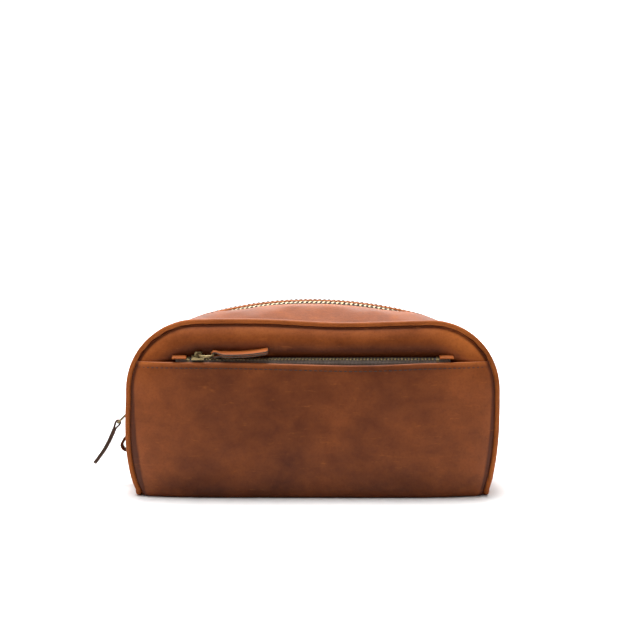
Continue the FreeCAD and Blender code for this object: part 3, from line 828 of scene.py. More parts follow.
def row_tree():
    """Node group that sets a unit along a line, turned to the surface it lies on."""
    tree = bpy.data.node_groups.get("row_along_line")
    if tree:
        return tree
    tree = bpy.data.node_groups.new("row_along_line", "GeometryNodeTree")
    face = tree.interface
    face.new_socket("Geometry", in_out="INPUT", socket_type="NodeSocketGeometry")
    face.new_socket("Unit", in_out="INPUT", socket_type="NodeSocketObject")
    face.new_socket("Pitch", in_out="INPUT", socket_type="NodeSocketFloat")
    face.new_socket("Start", in_out="INPUT", socket_type="NodeSocketFloat")
    face.new_socket("Unevenness", in_out="INPUT", socket_type="NodeSocketFloat")
    face.new_socket("Seed", in_out="INPUT", socket_type="NodeSocketInt")
    face.new_socket("Finish", in_out="INPUT", socket_type="NodeSocketMaterial")
    face.new_socket("Geometry", in_out="OUTPUT", socket_type="NodeSocketGeometry")

    def add(kind, **settings):
        node = tree.nodes.new(kind)
        for key, value in settings.items():
            setattr(node, key, value)
        return node

    def link(a, b):
        tree.links.new(a, b)

    given = add("NodeGroupInput")
    result = add("NodeGroupOutput")
    line = add("GeometryNodeMeshToCurve")
    link(given.outputs["Geometry"], line.inputs["Mesh"])
    trim = add("GeometryNodeTrimCurve", mode="LENGTH")
    length = add("GeometryNodeCurveLength")
    link(line.outputs["Curve"], length.inputs["Curve"])
    link(line.outputs["Curve"], trim.inputs["Curve"])
    starts = [socket for socket in trim.inputs if socket.name == "Start" and socket.enabled]
    ends = [socket for socket in trim.inputs if socket.name == "End" and socket.enabled]
    link(given.outputs["Start"], starts[-1])
    link(length.outputs["Length"], ends[-1])
    even = add("GeometryNodeResampleCurve")
    even.mode = "LENGTH"
    link(trim.outputs["Curve"], even.inputs["Curve"])
    link(given.outputs["Pitch"], even.inputs["Length"])
    tangent = add("GeometryNodeInputTangent")
    along = add("FunctionNodeAlignRotationToVector", axis="X")
    link(tangent.outputs["Tangent"], along.inputs["Vector"])
    outward = add("GeometryNodeInputNamedAttribute", data_type="FLOAT_VECTOR")
    outward.inputs["Name"].default_value = "outward"
    upright = add("FunctionNodeAlignRotationToVector", axis="Z", pivot_axis="X")
    link(along.outputs["Rotation"], upright.inputs["Rotation"])
    link(outward.outputs["Attribute"], upright.inputs["Vector"])
    uneven = add("FunctionNodeRandomValue", data_type="FLOAT_VECTOR")
    negative = add("ShaderNodeMath", operation="MULTIPLY")
    negative.inputs[1].default_value = -1.0
    link(given.outputs["Unevenness"], negative.inputs[0])
    link(negative.outputs["Value"], uneven.inputs["Min"])
    link(given.outputs["Unevenness"], uneven.inputs["Max"])
    link(given.outputs["Seed"], uneven.inputs["Seed"])
    turn = add("FunctionNodeEulerToRotation")
    link(uneven.outputs["Value"], turn.inputs["Euler"])
    both = add("FunctionNodeRotateRotation", rotation_space="LOCAL")
    link(upright.outputs["Rotation"], both.inputs["Rotation"])
    link(turn.outputs["Rotation"], both.inputs["Rotate By"])
    unit = add("GeometryNodeObjectInfo")
    link(given.outputs["Unit"], unit.inputs["Object"])
    spread = add("GeometryNodeInstanceOnPoints")
    link(even.outputs["Curve"], spread.inputs["Points"])
    link(unit.outputs["Geometry"], spread.inputs["Instance"])
    link(both.outputs["Rotation"], spread.inputs["Rotation"])
    real = add("GeometryNodeRealizeInstances")
    link(spread.outputs["Instances"], real.inputs["Geometry"])
    finish = add("GeometryNodeSetMaterial")
    link(real.outputs["Geometry"], finish.inputs["Geometry"])
    link(given.outputs["Finish"], finish.inputs["Material"])
    link(finish.outputs["Geometry"], result.inputs["Geometry"])
    return tree


def row_along(name, lines, outwards, unit_mesh, pitch, material, start=0.0, uneven=0.0, seed=1):
    """A mesh of units set along lines by the node group, as a plain object."""
    tree = row_tree()
    unit = new_object(name + "_unit", unit_mesh)
    points, edges, facing = [], [], []
    for line, outward in zip(lines, outwards):
        base = len(points)
        points += [tuple(p) for p in line]
        facing += [tuple(v) for v in outward]
        edges += [(base + k, base + k + 1) for k in range(len(line) - 1)]
    mesh = bpy.data.meshes.new(name + "_line")
    mesh.from_pydata(points, edges, [])
    attribute = mesh.attributes.new("outward", "FLOAT_VECTOR", "POINT")
    attribute.data.foreach_set("vector", np.array(facing, np.float32).ravel())
    source = new_object(name + "_line", mesh)
    modifier = source.modifiers.new("row", "NODES")
    modifier.node_group = tree
    values = {"Unit": unit, "Pitch": pitch, "Start": start, "Unevenness": uneven, "Seed": seed,
              "Finish": material}
    for socket in tree.interface.items_tree:
        if socket.in_out == "INPUT" and socket.name in values:
            modifier[socket.identifier] = values[socket.name]
    bpy.context.view_layer.update()
    evaluated = source.evaluated_get(bpy.context.evaluated_depsgraph_get())
    made = bpy.data.meshes.new_from_object(evaluated)
    bpy.data.objects.remove(source)
    bpy.data.objects.remove(unit)
    made.name = name
    if not made.vertices:
        raise RuntimeError(name + " came out empty")
    return new_object(name, made, material)


def stitch_unit(length, width):
    """One stitch: a short thread that dives into its holes at both ends."""
    mesh = bpy.data.meshes.new("stitch")
    work = bmesh.new()
    steps, sides = 7, 6
    rings = []
    for k in range(steps):
        t = k / (steps - 1)
        x = (t - 0.5) * length
        lift = width * (0.42 * math.sin(math.pi * t) - 0.25)
        radius = width * 0.5 * (0.55 + 0.45 * math.sin(math.pi * t))
        rings.append([work.verts.new((x, radius * math.cos(a), lift + radius * math.sin(a)))
                      for a in [2 * math.pi * m / sides for m in range(sides)]])
    for ring, following in zip(rings, rings[1:]):
        for m in range(sides):
            work.faces.new((ring[m], ring[(m + 1) % sides], following[(m + 1) % sides], following[m]))
    work.faces.new(rings[0][::-1])
    work.faces.new(rings[-1])
    bmesh.ops.recalc_face_normals(work, faces=work.faces)
    for face in work.faces:
        face.smooth = True
    work.to_mesh(mesh)
    work.free()
    return mesh


def stitch_row(name, line, facing, seed):
    """One row of stitches along a line on the bag."""
    st = stitches()
    row = row_along(name, [line], [facing], stitch_unit(st.length, st.width), st.pitch,
                    MATERIALS["thread"], uneven=0.05, seed=seed)
    finish_piece(row, "bag", "bag_leather")


def tooth_unit(width, reach, thick, sign, cross=0.35 * MM):
    """One zip tooth: a rounded head and a leg over the tape."""
    mesh = bpy.data.meshes.new("tooth")
    work = bmesh.new()
    bmesh.ops.create_cube(work, size=1.0)
    for vertex in work.verts:
        outer = vertex.co.y * sign > 0
        vertex.co.x *= width * (0.78 if outer else 1.0)
        vertex.co.z *= thick * (0.8 if outer else 1.0)
        vertex.co.y = sign * (reach * (vertex.co.y * sign + 0.5) - cross)
    bmesh.ops.bevel(work, geom=work.edges[:], offset=width * 0.16, segments=2, profile=0.6,
                    affect="EDGES")
    for face in work.faces:
        face.smooth = True
    work.to_mesh(mesh)
    work.free()
    return mesh


# ---------------------------------------------------------------- body panels


def seam_distance(points):
    """Distance in from the seam outline for points in x and z."""
    line = resampled(full_outline(0.0), 400)
    flat = points.reshape(-1, 2)
    gap = np.full(len(flat), 1e9)
    for start in range(0, len(flat), 4000):
        part = flat[start:start + 4000]
        away = np.linalg.norm(part[:, None, :] - line[None], axis=2)
        gap[start:start + 4000] = away.min(1)
    return gap.reshape(points.shape[:-1])


def panel_plan(columns=150, rows=70, inset=0.0):
    """Grid over the D outline: columns lean out to its corners, rows run along its top."""
    line = outline(0.0, inset)
    widest = int(line[:, 0].argmax())
    side = np.concatenate([foot_arc() - [inset, 0.0], line[: widest + 1]])
    over = line[widest:]
    over = np.concatenate([over, (over * [-1.0, 1.0])[::-1][1:]])[::-1]
    up = np.linspace(0, 1, rows)
    up = 0.75 * up + 0.25 * np.sin(up * math.pi / 2)
    right = resampled(side, places=up)
    left = right * [-1.0, 1.0]
    top = resampled(over, columns)
    foot = np.stack([np.linspace(left[0, 0], right[0, 0], columns), np.full(columns, right[0, 1])], 1)
    u = np.linspace(0, 1, columns)[:, None, None]
    v = up[None, :, None]
    grid = (1 - v) * foot[:, None] + v * top[:, None] + (1 - u) * left[None] + u * right[None]
    corners = ((1 - u) * (1 - v) * left[0] + u * (1 - v) * right[0]
               + (1 - u) * v * left[-1] + u * v * right[-1])
    return grid - corners


def smooth_step(values, start, end):
    t = np.clip((values - start) / (end - start), 0, 1)
    return t * t * (3 - 2 * t)


def rounded_foot(z, radius):
    """One at the floor, falling to nothing at the top of a round edge of that radius."""
    return 1 - np.sqrt(1 - (1 - np.clip(z / radius, 0, 1)) ** 2)


class KITBAG_OT_front_panel(bpy.types.Operator):
    """Make the front panel with the padded roll inside its seam"""

    bl_idname = "kitbag.front_panel"
    bl_label = "Front Panel"

    def execute(self, context):
        s = sizes()
        plan = panel_plan(rows=90, inset=-UNDER_PIPING)
        gap = seam_distance(plan)
        z = plan[..., 1]
        roll = np.sin(math.pi * np.clip(gap / s.roll_width, 0, 1)) ** 0.75 * s.panel_roll
        settle = 1.2 * MM * smooth_step(gap, 0, 10 * MM)
        above = smooth_step(z, POCKET_HEIGHT - 12 * MM, POCKET_HEIGHT + 3 * MM)
        hollow = 1.0 * MM * smooth_step(gap, s.roll_width * 0.8, s.roll_width * 1.2)
        y = -HALF_DEPTH - 1.3 * MM - settle * (1 - above)
        y = y - above * (roll + 0.2 * MM) + above * hollow * 0.4
        grid = np.stack([plan[..., 0], y, z], -1)
        pinned = pins_at_edges(grid)
        pinned[z < POCKET_HEIGHT - 4 * MM] = 1
        grid = relaxed(sagged(grid), pinned, pressure=2.5, cap=1.5 * MM, sign=1)
        # Painted light and shade on the front panel: a painted highlight band just inside the seam,
        # painted shade growing towards the pocket zip where the roll turns under, a painted highlight
        # on the upper right corner, and a thin painted shadow line right along the piping.
        shade = 0.16 * (1 - smooth_step(gap, 1 * MM, s.roll_width * 0.35)) \
            - 0.66 * smooth_step(gap, s.roll_width * 0.30, s.roll_width * 0.95) \
            + 0.30 * smooth_step(plan[..., 0], 70 * MM, 110 * MM) * smooth_step(z, 85 * MM, 110 * MM) \
            - 0.8 * (1 - smooth_step(gap, 0.4 * MM, 2.0 * MM))
        mesh = shell_mesh("front_panel_leather", grid, s.leather, 1, shade)
        piece = new_object("front_panel_leather", mesh, MATERIALS["body"])
        finish_piece(piece, "bag", "bag_leather", "front_panel")
        return {"FINISHED"}


class KITBAG_OT_back_panel(bpy.types.Operator):
    """Make the plain domed back panel"""

    bl_idname = "kitbag.back_panel"
    bl_label = "Back Panel"

    def execute(self, context):
        s = sizes()
        plan = panel_plan(inset=-UNDER_PIPING)
        gap = seam_distance(plan)
        y = HALF_DEPTH + 1.3 * MM + s.back_dome * smooth_step(gap, -2 * MM, 30 * MM)
        y = y - 4 * MM * rounded_foot(plan[..., 1], 5 * MM) * smooth_step(gap, -1 * MM, 4 * MM)
        grid = sagged(np.stack([plan[..., 0], y, plan[..., 1]], -1))
        grid = relaxed(grid, pins_at_edges(grid), pressure=3.0, cap=2.5 * MM, sign=-1)
        shade = 0.12 * smooth_step(-gap, -16 * MM, -4 * MM) - 0.05
        mesh = shell_mesh("back_panel_leather", grid, s.leather, -1, shade)
        piece = new_object("back_panel_leather", mesh, MATERIALS["body"])
        finish_piece(piece, "bag", "bag_leather", "back_panel")
        return {"FINISHED"}


def pocket_bulge(x, half):
    """How far the pocket stands out at x: it swells from the side seams and leans right a little."""
    reach = np.clip(np.abs(x) / half, 0, 1)
    lean = 1 + 0.05 * np.sin(math.pi * np.clip((x - 10 * MM) / half, -1, 1))
    full = -HALF_DEPTH - 3.0 * MM - POCKET_FACE
    return full * (1 - reach ** 6) ** 0.9 * lean


def hem_sag(x):
    """How far the pocket's top edge hangs below its ends."""
    return 2.3 * MM * np.exp(-((x - 32 * MM) / np.where(x < 32 * MM, 62 * MM, 42 * MM)) ** 2)


def pocket_point(x, z):
    """Outer face of the pocket panel at x and z."""
    half = seam_half(z)
    rise = 0.93 + 0.07 * np.sin(math.pi * np.clip(z / POCKET_HEIGHT, 0, 1) * 0.75)
    y = -HALF_DEPTH - 3.0 * MM - pocket_bulge(x, half) * rise
    return y + 4.2 * MM * rounded_foot(z, 5 * MM) * smooth_step(half - np.abs(x), 0, 10 * MM)


class KITBAG_OT_pocket_panel(bpy.types.Operator):
    """Make the pocket panel with its turned top edge"""

    bl_idname = "kitbag.pocket_panel"
    bl_label = "Pocket Panel"

    def execute(self, context):
        heights = np.concatenate([np.linspace(0.3, 5, 9) * MM,
                                  np.linspace(7 * MM, POCKET_HEIGHT - 1.6 * MM, 50)])
        across = np.sin(np.linspace(-1, 1, 130) * math.pi / 2) * 0.45 + np.linspace(-1, 1, 130) * 0.55
        columns = []
        for z in heights:
            x = across * (float(seam_half(z)) + UNDER_PIPING)
            sag = hem_sag(x) * (z / POCKET_HEIGHT) ** 3
            columns.append(np.stack([x, pocket_point(x, z), z - sag], 1))
        face = filled_out(np.stack(columns, 1))
        pinned = pins_at_edges(face)
        pinned[:, -1] = 0.6
        face = relaxed(face, pinned, pressure=2.0, cap=1.5 * MM, sign=1)
        edge = face[:, -1]
        radius = 1.45 * MM
        turned = [edge + [0.0, radius * (1 - math.cos(a)), radius * math.sin(a) * 1.1]
                  for a in np.radians(np.linspace(15, 180, 9))]
        turned += [edge + [0.0, 2 * radius, -down * MM] for down in (2.0, 5.0, 9.0)]
        grid = np.concatenate([face, np.stack(turned, 1)], 1)
        z = grid[..., 2]
        reach = np.abs(grid[..., 0]) / HALF_WIDTH
        # Shade values on the pocket: lighter towards its ends, a painted highlight along the turned top
        # edge, painted shade towards the bottom where the panel curves under, and a thin painted shadow
        # line along the side seams.
        shade = -0.20 + 0.25 * smooth_step(reach, 0.6, 1.0)
        shade = shade + 0.36 * smooth_step(z, POCKET_HEIGHT - 4.0 * MM, POCKET_HEIGHT - 1.0 * MM)
        shade = shade - 0.10 * (1 - smooth_step(z, 2 * MM, 22 * MM))
        shade = shade - 0.7 * (1 - smooth_step(seam_half(z) - np.abs(grid[..., 0]), 0.4 * MM, 2.2 * MM))
        mesh = shell_mesh("pocket_panel_leather", grid, 1.3 * MM, 1, shade)
        piece = new_object("pocket_panel_leather", mesh, MATERIALS["pocket"])
        finish_piece(piece, "bag", "bag_leather", "pocket_panel")
        line = (edge + [0.0, -0.18 * MM, -2.6 * MM])[2:-2]
        stitch_row("pocket_hem_stitches", line, np.tile([0.0, -1.0, 0.1], (len(line), 1)), seed=4)
        return {"FINISHED"}


class KITBAG_OT_base_panel(bpy.types.Operator):
    """Make the flat base panel"""

    bl_idname = "kitbag.base_panel"
    bl_label = "Base Panel"

    def execute(self, context):
        xs = np.linspace(-1, 1, 90) * (FOOT_HALF_WIDTH - 0.3 * MM)
        ys = np.linspace(-HALF_DEPTH - 3.5 * MM, HALF_DEPTH + 1.5 * MM, 46)
        x, y = np.meshgrid(xs, ys, indexing="ij")
        side = FOOT_HALF_WIDTH - np.abs(x)
        edge = np.minimum(side, np.minimum(y - ys[0], ys[-1] - y))
        ends = 4.2 * MM * (1 - smooth_step(side, 0, 5 * MM)) ** 2
        grid = np.stack([x, y, 0.15 * MM + ends + 0.8 * MM * smooth_step(edge, 6 * MM, 40 * MM)], -1)
        shade = np.full(x.shape, -0.1)
        mesh = shell_mesh("base_panel_leather", grid, sizes().leather, -1, shade)
        piece = new_object("base_panel_leather", mesh, MATERIALS["body"])
        finish_piece(piece, "bag", "bag_leather", "base_panel")
        return {"FINISHED"}


def strip_columns(sign, count=34):
    """Depths from the seam to the zip, close together at the folded zip edge."""
    reach = 1 - (1 - np.linspace(0, 1, count)) ** 1.4
    return sign * (HALF_DEPTH - 0.4 * MM - (HALF_DEPTH - 0.4 * MM - ZIP_HALF_OPENING) * reach)


def facing_up(out):
    """Normals along the strip, turned so that they point up at its crown."""
    return -out if out[len(out) // 2, 2] < 0 else out


def strip_painted_light(grid):
    """Painted highlight near the zip, where the strip lies flattest under the light from above, and
    painted shade near the seams, where it falls steeply.
    """
    y = np.abs(grid[..., 1])
    near_zip = 1 - smooth_step(y, ZIP_HALF_OPENING, ZIP_HALF_OPENING + 22 * MM)
    near_seam = 1 - smooth_step(HALF_DEPTH - y, 0, 10 * MM)
    return 0.55 * near_zip - 0.22 * near_seam + 0.02


class KITBAG_OT_top_strips(bpy.types.Operator):
    """Make the two halves of the top strip and the two end panels"""

    bl_idname = "kitbag.top_strips"
    bl_label = "Top Strips and End Panels"

    def execute(self, context):
        for name, sign in (("front", -1), ("back", 1)):
            self.top_strip(name, sign)
        for name, side in (("left", 0), ("right", 1)):
            self.end_panel(name, side)
        return {"FINISHED"}

    def top_strip(self, name, sign):
        s = sizes()
        places = strip_places(STRIP_FOOT - 3 * MM, count=190)
        grid = strip_grid(strip_columns(sign), places, puff=s.strip_puff * sign * -1)
        turn = -sign
        pinned = pins_at_edges(grid)
        pinned[:, -8:] = 1
        grid = relaxed(grid, pinned, pressure=2.5, slack=0.004, cap=1.6 * MM, sign=turn)
        facing = normals(grid, turn)
        edge = grid[:, -1]
        down = facing[:, -1]
        into = np.array([0.0, -sign, 0.0])
        radius = 0.95 * MM
        fold = [edge + into * radius * math.sin(a) - down * radius * (1 - math.cos(a))
                for a in np.radians(np.linspace(25, 180, 7))]
        fold += [edge - into * back * MM - down * 2 * radius for back in (3.0, 6.0)]
        grid = np.concatenate([grid, np.stack(fold, 1)], 1)
        # Painted highlight near the zip and painted shade near the seams.
        shade = strip_painted_light(grid)
        node = "top_strip_" + name
        mesh = shell_mesh(node + "_leather", grid, 0.9 * MM, turn, shade)
        piece = new_object(node + "_leather", mesh, MATERIALS["strip"])
        finish_piece(piece, "bag", "bag_leather", node)
        stitched = ZIP_HALF_OPENING + 2.3 * MM
        base = strip_grid(sign * (stitched + np.array([-1, 0, 1]) * MM), places)
        out = facing_up(normals(base, turn)[:, 1])
        nearest = np.abs(np.abs(grid[0, :34, 1]) - stitched).argmin()
        row = grid[:, nearest] + out * 0.12 * MM
        stitch_row(node + "_stitches", row[3:-3], out[3:-3], seed=7 + sign)

    def end_panel(self, name, side):
        s = sizes()
        places = strip_places(FOOT_RADIUS - 0.5 * MM, STRIP_FOOT + 1.5 * MM, count=40)
        places = 1 - places if side else places
        depth = np.linspace(-1, 1, 60) * (HALF_DEPTH - 0.4 * MM)
        grid = strip_grid(depth, places)
        outward = np.array([-1.0 if side == 0 else 1.0, 0.0, 0.0])
        turn = 1 if (normals(grid, 1)[20, 30] @ outward) > 0 else -1
        lift = 1.5 * MM * smooth_step(grid[..., 2], STRIP_FOOT - 12 * MM, STRIP_FOOT - 2 * MM)
        grid = grid + normals(grid, turn) * (0.35 * MM + lift)[..., None]
        under = [grid[0] - outward * inward * MM - [0.0, 0.0, down * MM]
                 for inward, down in ((0.7, 2.8), (0.15, 1.4))]
        grid = np.concatenate([np.stack(under), grid])
        pinned = pins_at_edges(grid)
        pinned[:3] = 1
        grid = relaxed(grid, pinned, pressure=2.0, cap=1.5 * MM, sign=turn)
        # Painted light on the end panels: lighter towards the top, and painted shade near the front and
        # back seams.
        shade = 0.10 * smooth_step(grid[..., 2], 20 * MM, STRIP_FOOT) \
            - 0.12 * (1 - smooth_step(HALF_DEPTH - np.abs(grid[..., 1]), 0, 9 * MM))
        node = "end_panel_" + name
        mesh = shell_mesh(node + "_leather", grid, s.leather, turn, shade)
        piece = new_object(node + "_leather", mesh, MATERIALS["body"])
        finish_piece(piece, "bag", "bag_leather", node)
        k = int(np.abs(grid[:, 30, 2] - (STRIP_FOOT - 1.4 * MM)).argmin())
        out = normals(grid, turn)[k, 2:-2]
        stitch_row(node + "_stitches", grid[k, 2:-2] + out * 0.1 * MM, out, seed=12 + side)


def piping_line(sign):
    """Middle of the piping along one D seam, from the left foot to the right foot."""
    flat = resampled(full_outline(0.0, -(PIPING_RADIUS + 0.15 * MM)), 260)
    return sagged(np.stack([flat[:, 0], np.full(len(flat), sign * HALF_DEPTH), flat[:, 1]], 1))


class KITBAG_OT_piping(bpy.types.Operator):
    """Make the piping as one run: both D seams and the two base edges"""

    bl_idname = "kitbag.piping"
    bl_label = "Piping"

    def execute(self, context):
        front = piping_line(-1)
        back = piping_line(1)[::-1]
        elbow = 2.8 * MM

        def turn(foot, sign):
            """Quarter bend from the foot of a D seam into a base edge."""
            angles = np.linspace(0.15, 1, 6) * math.pi / 2
            return np.array([[foot[0], sign * (HALF_DEPTH - elbow + elbow * math.cos(a)),
                              foot[2] - elbow * math.sin(a)] for a in angles])

        def run(start, sign):
            """Straight base edge from one bend to the other."""
            ys = np.linspace(-1, 1, 60)[1:-1] * sign * (HALF_DEPTH - elbow)
            return np.stack([np.full(len(ys), start[0]), ys, np.full(len(ys), start[2])], 1)

        right = turn(front[-1], -1)
        left = turn(back[-1], 1)
        line = np.concatenate([front, right, run(right[-1], 1), turn(back[0], 1)[::-1],
                               back, left, run(left[-1], -1), turn(front[0], -1)[::-1]])
        path = resampled(np.concatenate([line, line[:1]]), 900)[:-1]
        mesh = tube_mesh("piping_leather_run", path, PIPING_RADIUS, wobble=0.05 * MM, seed=3)
        add_shade(mesh, np.full(len(mesh.vertices), 0.02))
        piece = new_object("piping_leather_run", mesh, MATERIALS["piping"])
        covers = [n for n in frame["nodes"] if n.startswith("piping_")]
        finish_piece(piece, "bag", "piping_leather", *covers)
        return {"FINISHED"}


# ---------------------------------------------------------------- zips


class KITBAG_OT_main_zip(bpy.types.Operator):
    """Make the main zip's tapes, teeth and stops"""

    bl_idname = "kitbag.main_zip"
    bl_label = "Main Zip"

    def execute(self, context):
        st = stitches()
        places = strip_places(STRIP_FOOT - 4 * MM, count=220)
        for name, sign in (("front", -1), ("back", 1)):
            depth = sign * np.linspace(ZIP_HALF_OPENING + 4 * MM, 1.6 * MM, 12)
            grid = strip_grid(depth, places, inset=2.0 * MM)
            turn = -sign
            inner = smooth_step(ZIP_HALF_OPENING - np.abs(depth), 0.0, 4 * MM)
            grid[..., 2] += 1.3 * MM * crest(grid[..., 0]) * inner * (grid[..., 2] > 90 * MM)
            mesh = shell_mesh("main_zip_tape_" + name + "_cloth", grid, 0.7 * MM, turn)
            piece = new_object("main_zip_tape_" + name + "_cloth", mesh, MATERIALS["tape"])
            finish_piece(piece, "bag", "zip_tape", "main_zip_tape_" + name)
            start = strip_places(low("main_zip_teeth_front").z + 0.9 * MM, count=400)
            line = strip_grid([-0.2 * MM, 0.0, 0.2 * MM], start, inset=2.35 * MM)
            line[..., 2] += 1.3 * MM * crest(line[..., 0])
            out = facing_up(normals(line, 1)[:, 1])
            unit = tooth_unit(1.9 * MM, 3.6 * MM, 1.6 * MM, -sign)
            made = row_along("main_zip_teeth_" + name + "_brass", [line[:, 1]], [out], unit,
                             st.main_pitch, MATERIALS["teeth"],
                             start=0.0 if sign < 0 else st.main_pitch / 2)
            finish_piece(made, "bag", "zip_metal", "main_zip_teeth_" + name)
        dress("main_zip_stops", "teeth")
        return {"FINISHED"}


class KITBAG_OT_pocket_zip(bpy.types.Operator):
    """Make the pocket zip's tapes, teeth and end patches"""

    bl_idname = "kitbag.pocket_zip"
    bl_label = "Pocket Zip"

    def execute(self, context):
        st = stitches()
        tilt = pocket_tilt()
        middle = pocket_zip_middle()
        teeth_low = low("pocket_zip_teeth_front").x
        teeth_high = high("pocket_zip_teeth_front").x
        tape = "pocket_zip_tape_front"
        xs = np.linspace(low(tape).x + 2 * MM, high(tape).x - 2 * MM, 120)
        across = np.array([0, math.cos(tilt), math.sin(tilt)])
        up = np.array([0, -math.sin(tilt), math.cos(tilt)])
        for name, sign in (("front", -1), ("rear", 1)):
            rows = []
            slope = 1.0 if sign < 0 else 0.0
            for reach in np.linspace(1.1, 3.4, 6) * MM:
                rows.append(middle + sign * across * reach - up * slope * (reach - 1.1 * MM))
            last = rows[-1]
            if sign < 0:
                wall = [np.array([0, last[1] - 0.3 * MM * t, last[2] - 7.0 * MM * t])
                        for t in (0.35, 0.7, 1.0)]
            else:
                wall = [np.array([0, last[1] + 1.6 * MM * t, last[2] - 3.5 * MM * t])
                        for t in (0.35, 0.7, 1.0)]
            rows += wall
            line = np.array(rows)
            grid = np.zeros((len(xs), len(line), 3))
            grid[..., 0] = xs[:, None]
            grid[..., 1] = line[None, :, 1]
            grid[..., 2] = line[None, :, 2]
            turn = 1 if normals(grid, 1)[60, 2, 2] > 0 else -1
            mesh = shell_mesh("pocket_zip_tape_" + name + "_cloth", grid, 0.5 * MM, turn)
            piece = new_object("pocket_zip_tape_" + name + "_cloth", mesh, MATERIALS["tape"])
            finish_piece(piece, "bag", "zip_tape", "pocket_zip_tape_" + name)
            line_x = np.linspace(teeth_low + 1 * MM, teeth_high - 1 * MM, 60)
            points = np.stack([line_x, np.full(60, middle[1]), np.full(60, middle[2])], 1)
            facing = np.tile(up, (60, 1))
            unit = tooth_unit(1.25 * MM, 1.8 * MM, 0.8 * MM, sign, cross=-0.25 * MM)
            made = row_along("pocket_zip_teeth_" + name + "_brass", [points], [facing], unit,
                             st.pocket_pitch, MATERIALS["teeth"],
                             start=0.0 if sign < 0 else st.pocket_pitch / 2)
            finish_piece(made, "bag", "zip_metal", "pocket_zip_teeth_" + name)
        dress("pocket_zip_stops", "teeth")
        for name in ("left", "right"):
            self.end_patch(name)
        return {"FINISHED"}

    def end_patch(self, name):
        node = "pocket_zip_patch_" + name
        a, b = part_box(node)
        centre = (a + b) / 2
        tilt = pocket_tilt()
        place = Matrix.Translation(centre) @ Matrix.Rotation(tilt, 4, "X")
        half = (b.x - a.x) / 2
        xs = np.linspace(-half, half, 14)
        line = np.stack([xs, -0.25 * MM * (np.abs(xs) / half) ** 3], 1)
        width = np.full(14, 3.4 * MM) - 0.3 * MM * (np.abs(xs) / half) ** 6
        mesh = strap_mesh(node + "_leather", line, width, 1.1 * MM, place)
        add_shade(mesh, np.full(len(mesh.vertices), 0.2))
        piece = new_object(node + "_leather", mesh, MATERIALS["trim"])
        finish_piece(piece, "bag", "trim_leather", node)


def pocket_tilt():
    axis = JOINTS["pocket_ring_swing"]["axis"]
    return math.atan2(-axis[2], -axis[1])


def pocket_zip_middle():
    """Middle of the pocket zip's chain, in depth and height."""
    front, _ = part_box("pocket_zip_teeth_front")
    _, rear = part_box("pocket_zip_teeth_rear")
    return np.array([0.0, (front.y + rear.y) / 2, (front.z + rear.z) / 2])


# ---------------------------------------------------------------- hardware


def refined(node, material, bevel):
    """A copy of a CAD piece with its corners eased, standing for it."""
    source = frame["nodes"][node]
    mesh = source.data.copy()
    mesh.name = node + "_brass"
    work = bmesh.new()
    work.from_mesh(mesh)
    bmesh.ops.remove_doubles(work, verts=work.verts, dist=1e-6)
    bmesh.ops.dissolve_limit(work, angle_limit=math.radians(3), verts=work.verts, edges=work.edges)
    sharp = [edge for edge in work.edges if len(edge.link_faces) == 2
             and edge.calc_face_angle(0.0) > math.radians(25)]
    bmesh.ops.bevel(work, geom=sharp, offset=bevel, segments=3, profile=0.6, affect="EDGES",
                    clamp_overlap=True)
    bmesh.ops.recalc_face_normals(work, faces=work.faces)
    for face in work.faces:
        face.smooth = True
    work.to_mesh(mesh)
    work.free()
    return new_object(node + "_brass", mesh, material)


class KITBAG_OT_sliders(bpy.types.Operator):
    """Make the two brass sliders and their rings"""

    bl_idname = "kitbag.sliders"
    bl_label = "Sliders and Rings"

    def execute(self, context):
        for name in ("main", "pocket"):
            slider = refined(name + "_slider", MATERIALS["brass"], 0.28 * MM)
            finish_piece(slider, name + "_slider", "antique_brass", name + "_slider")
            self.ring(name)
        return {"FINISHED"}

    def ring(self, name):
        pivot = joint_point(name + "_ring_swing")
        far = joint_point(name + "_pull_swing")
        middle = (pivot + far) / 2
        radius = (far - pivot).length / 2
        along = (far - pivot).normalized()
        across = Vector(JOINTS[name + "_ring_swing"]["axis"]).normalized()
        circle = [middle + radius * (math.cos(a) * along + math.sin(a) * across)
                  for a in np.linspace(0, 2 * math.pi, 96, endpoint=False)]
        mesh = tube_mesh(name + "_ring_brass", circle, 0.82 * MM, segments=16)
        piece = new_object(name + "_ring_brass", mesh, MATERIALS["brass"])
        finish_piece(piece, name + "_ring", "antique_brass", name + "_ring")


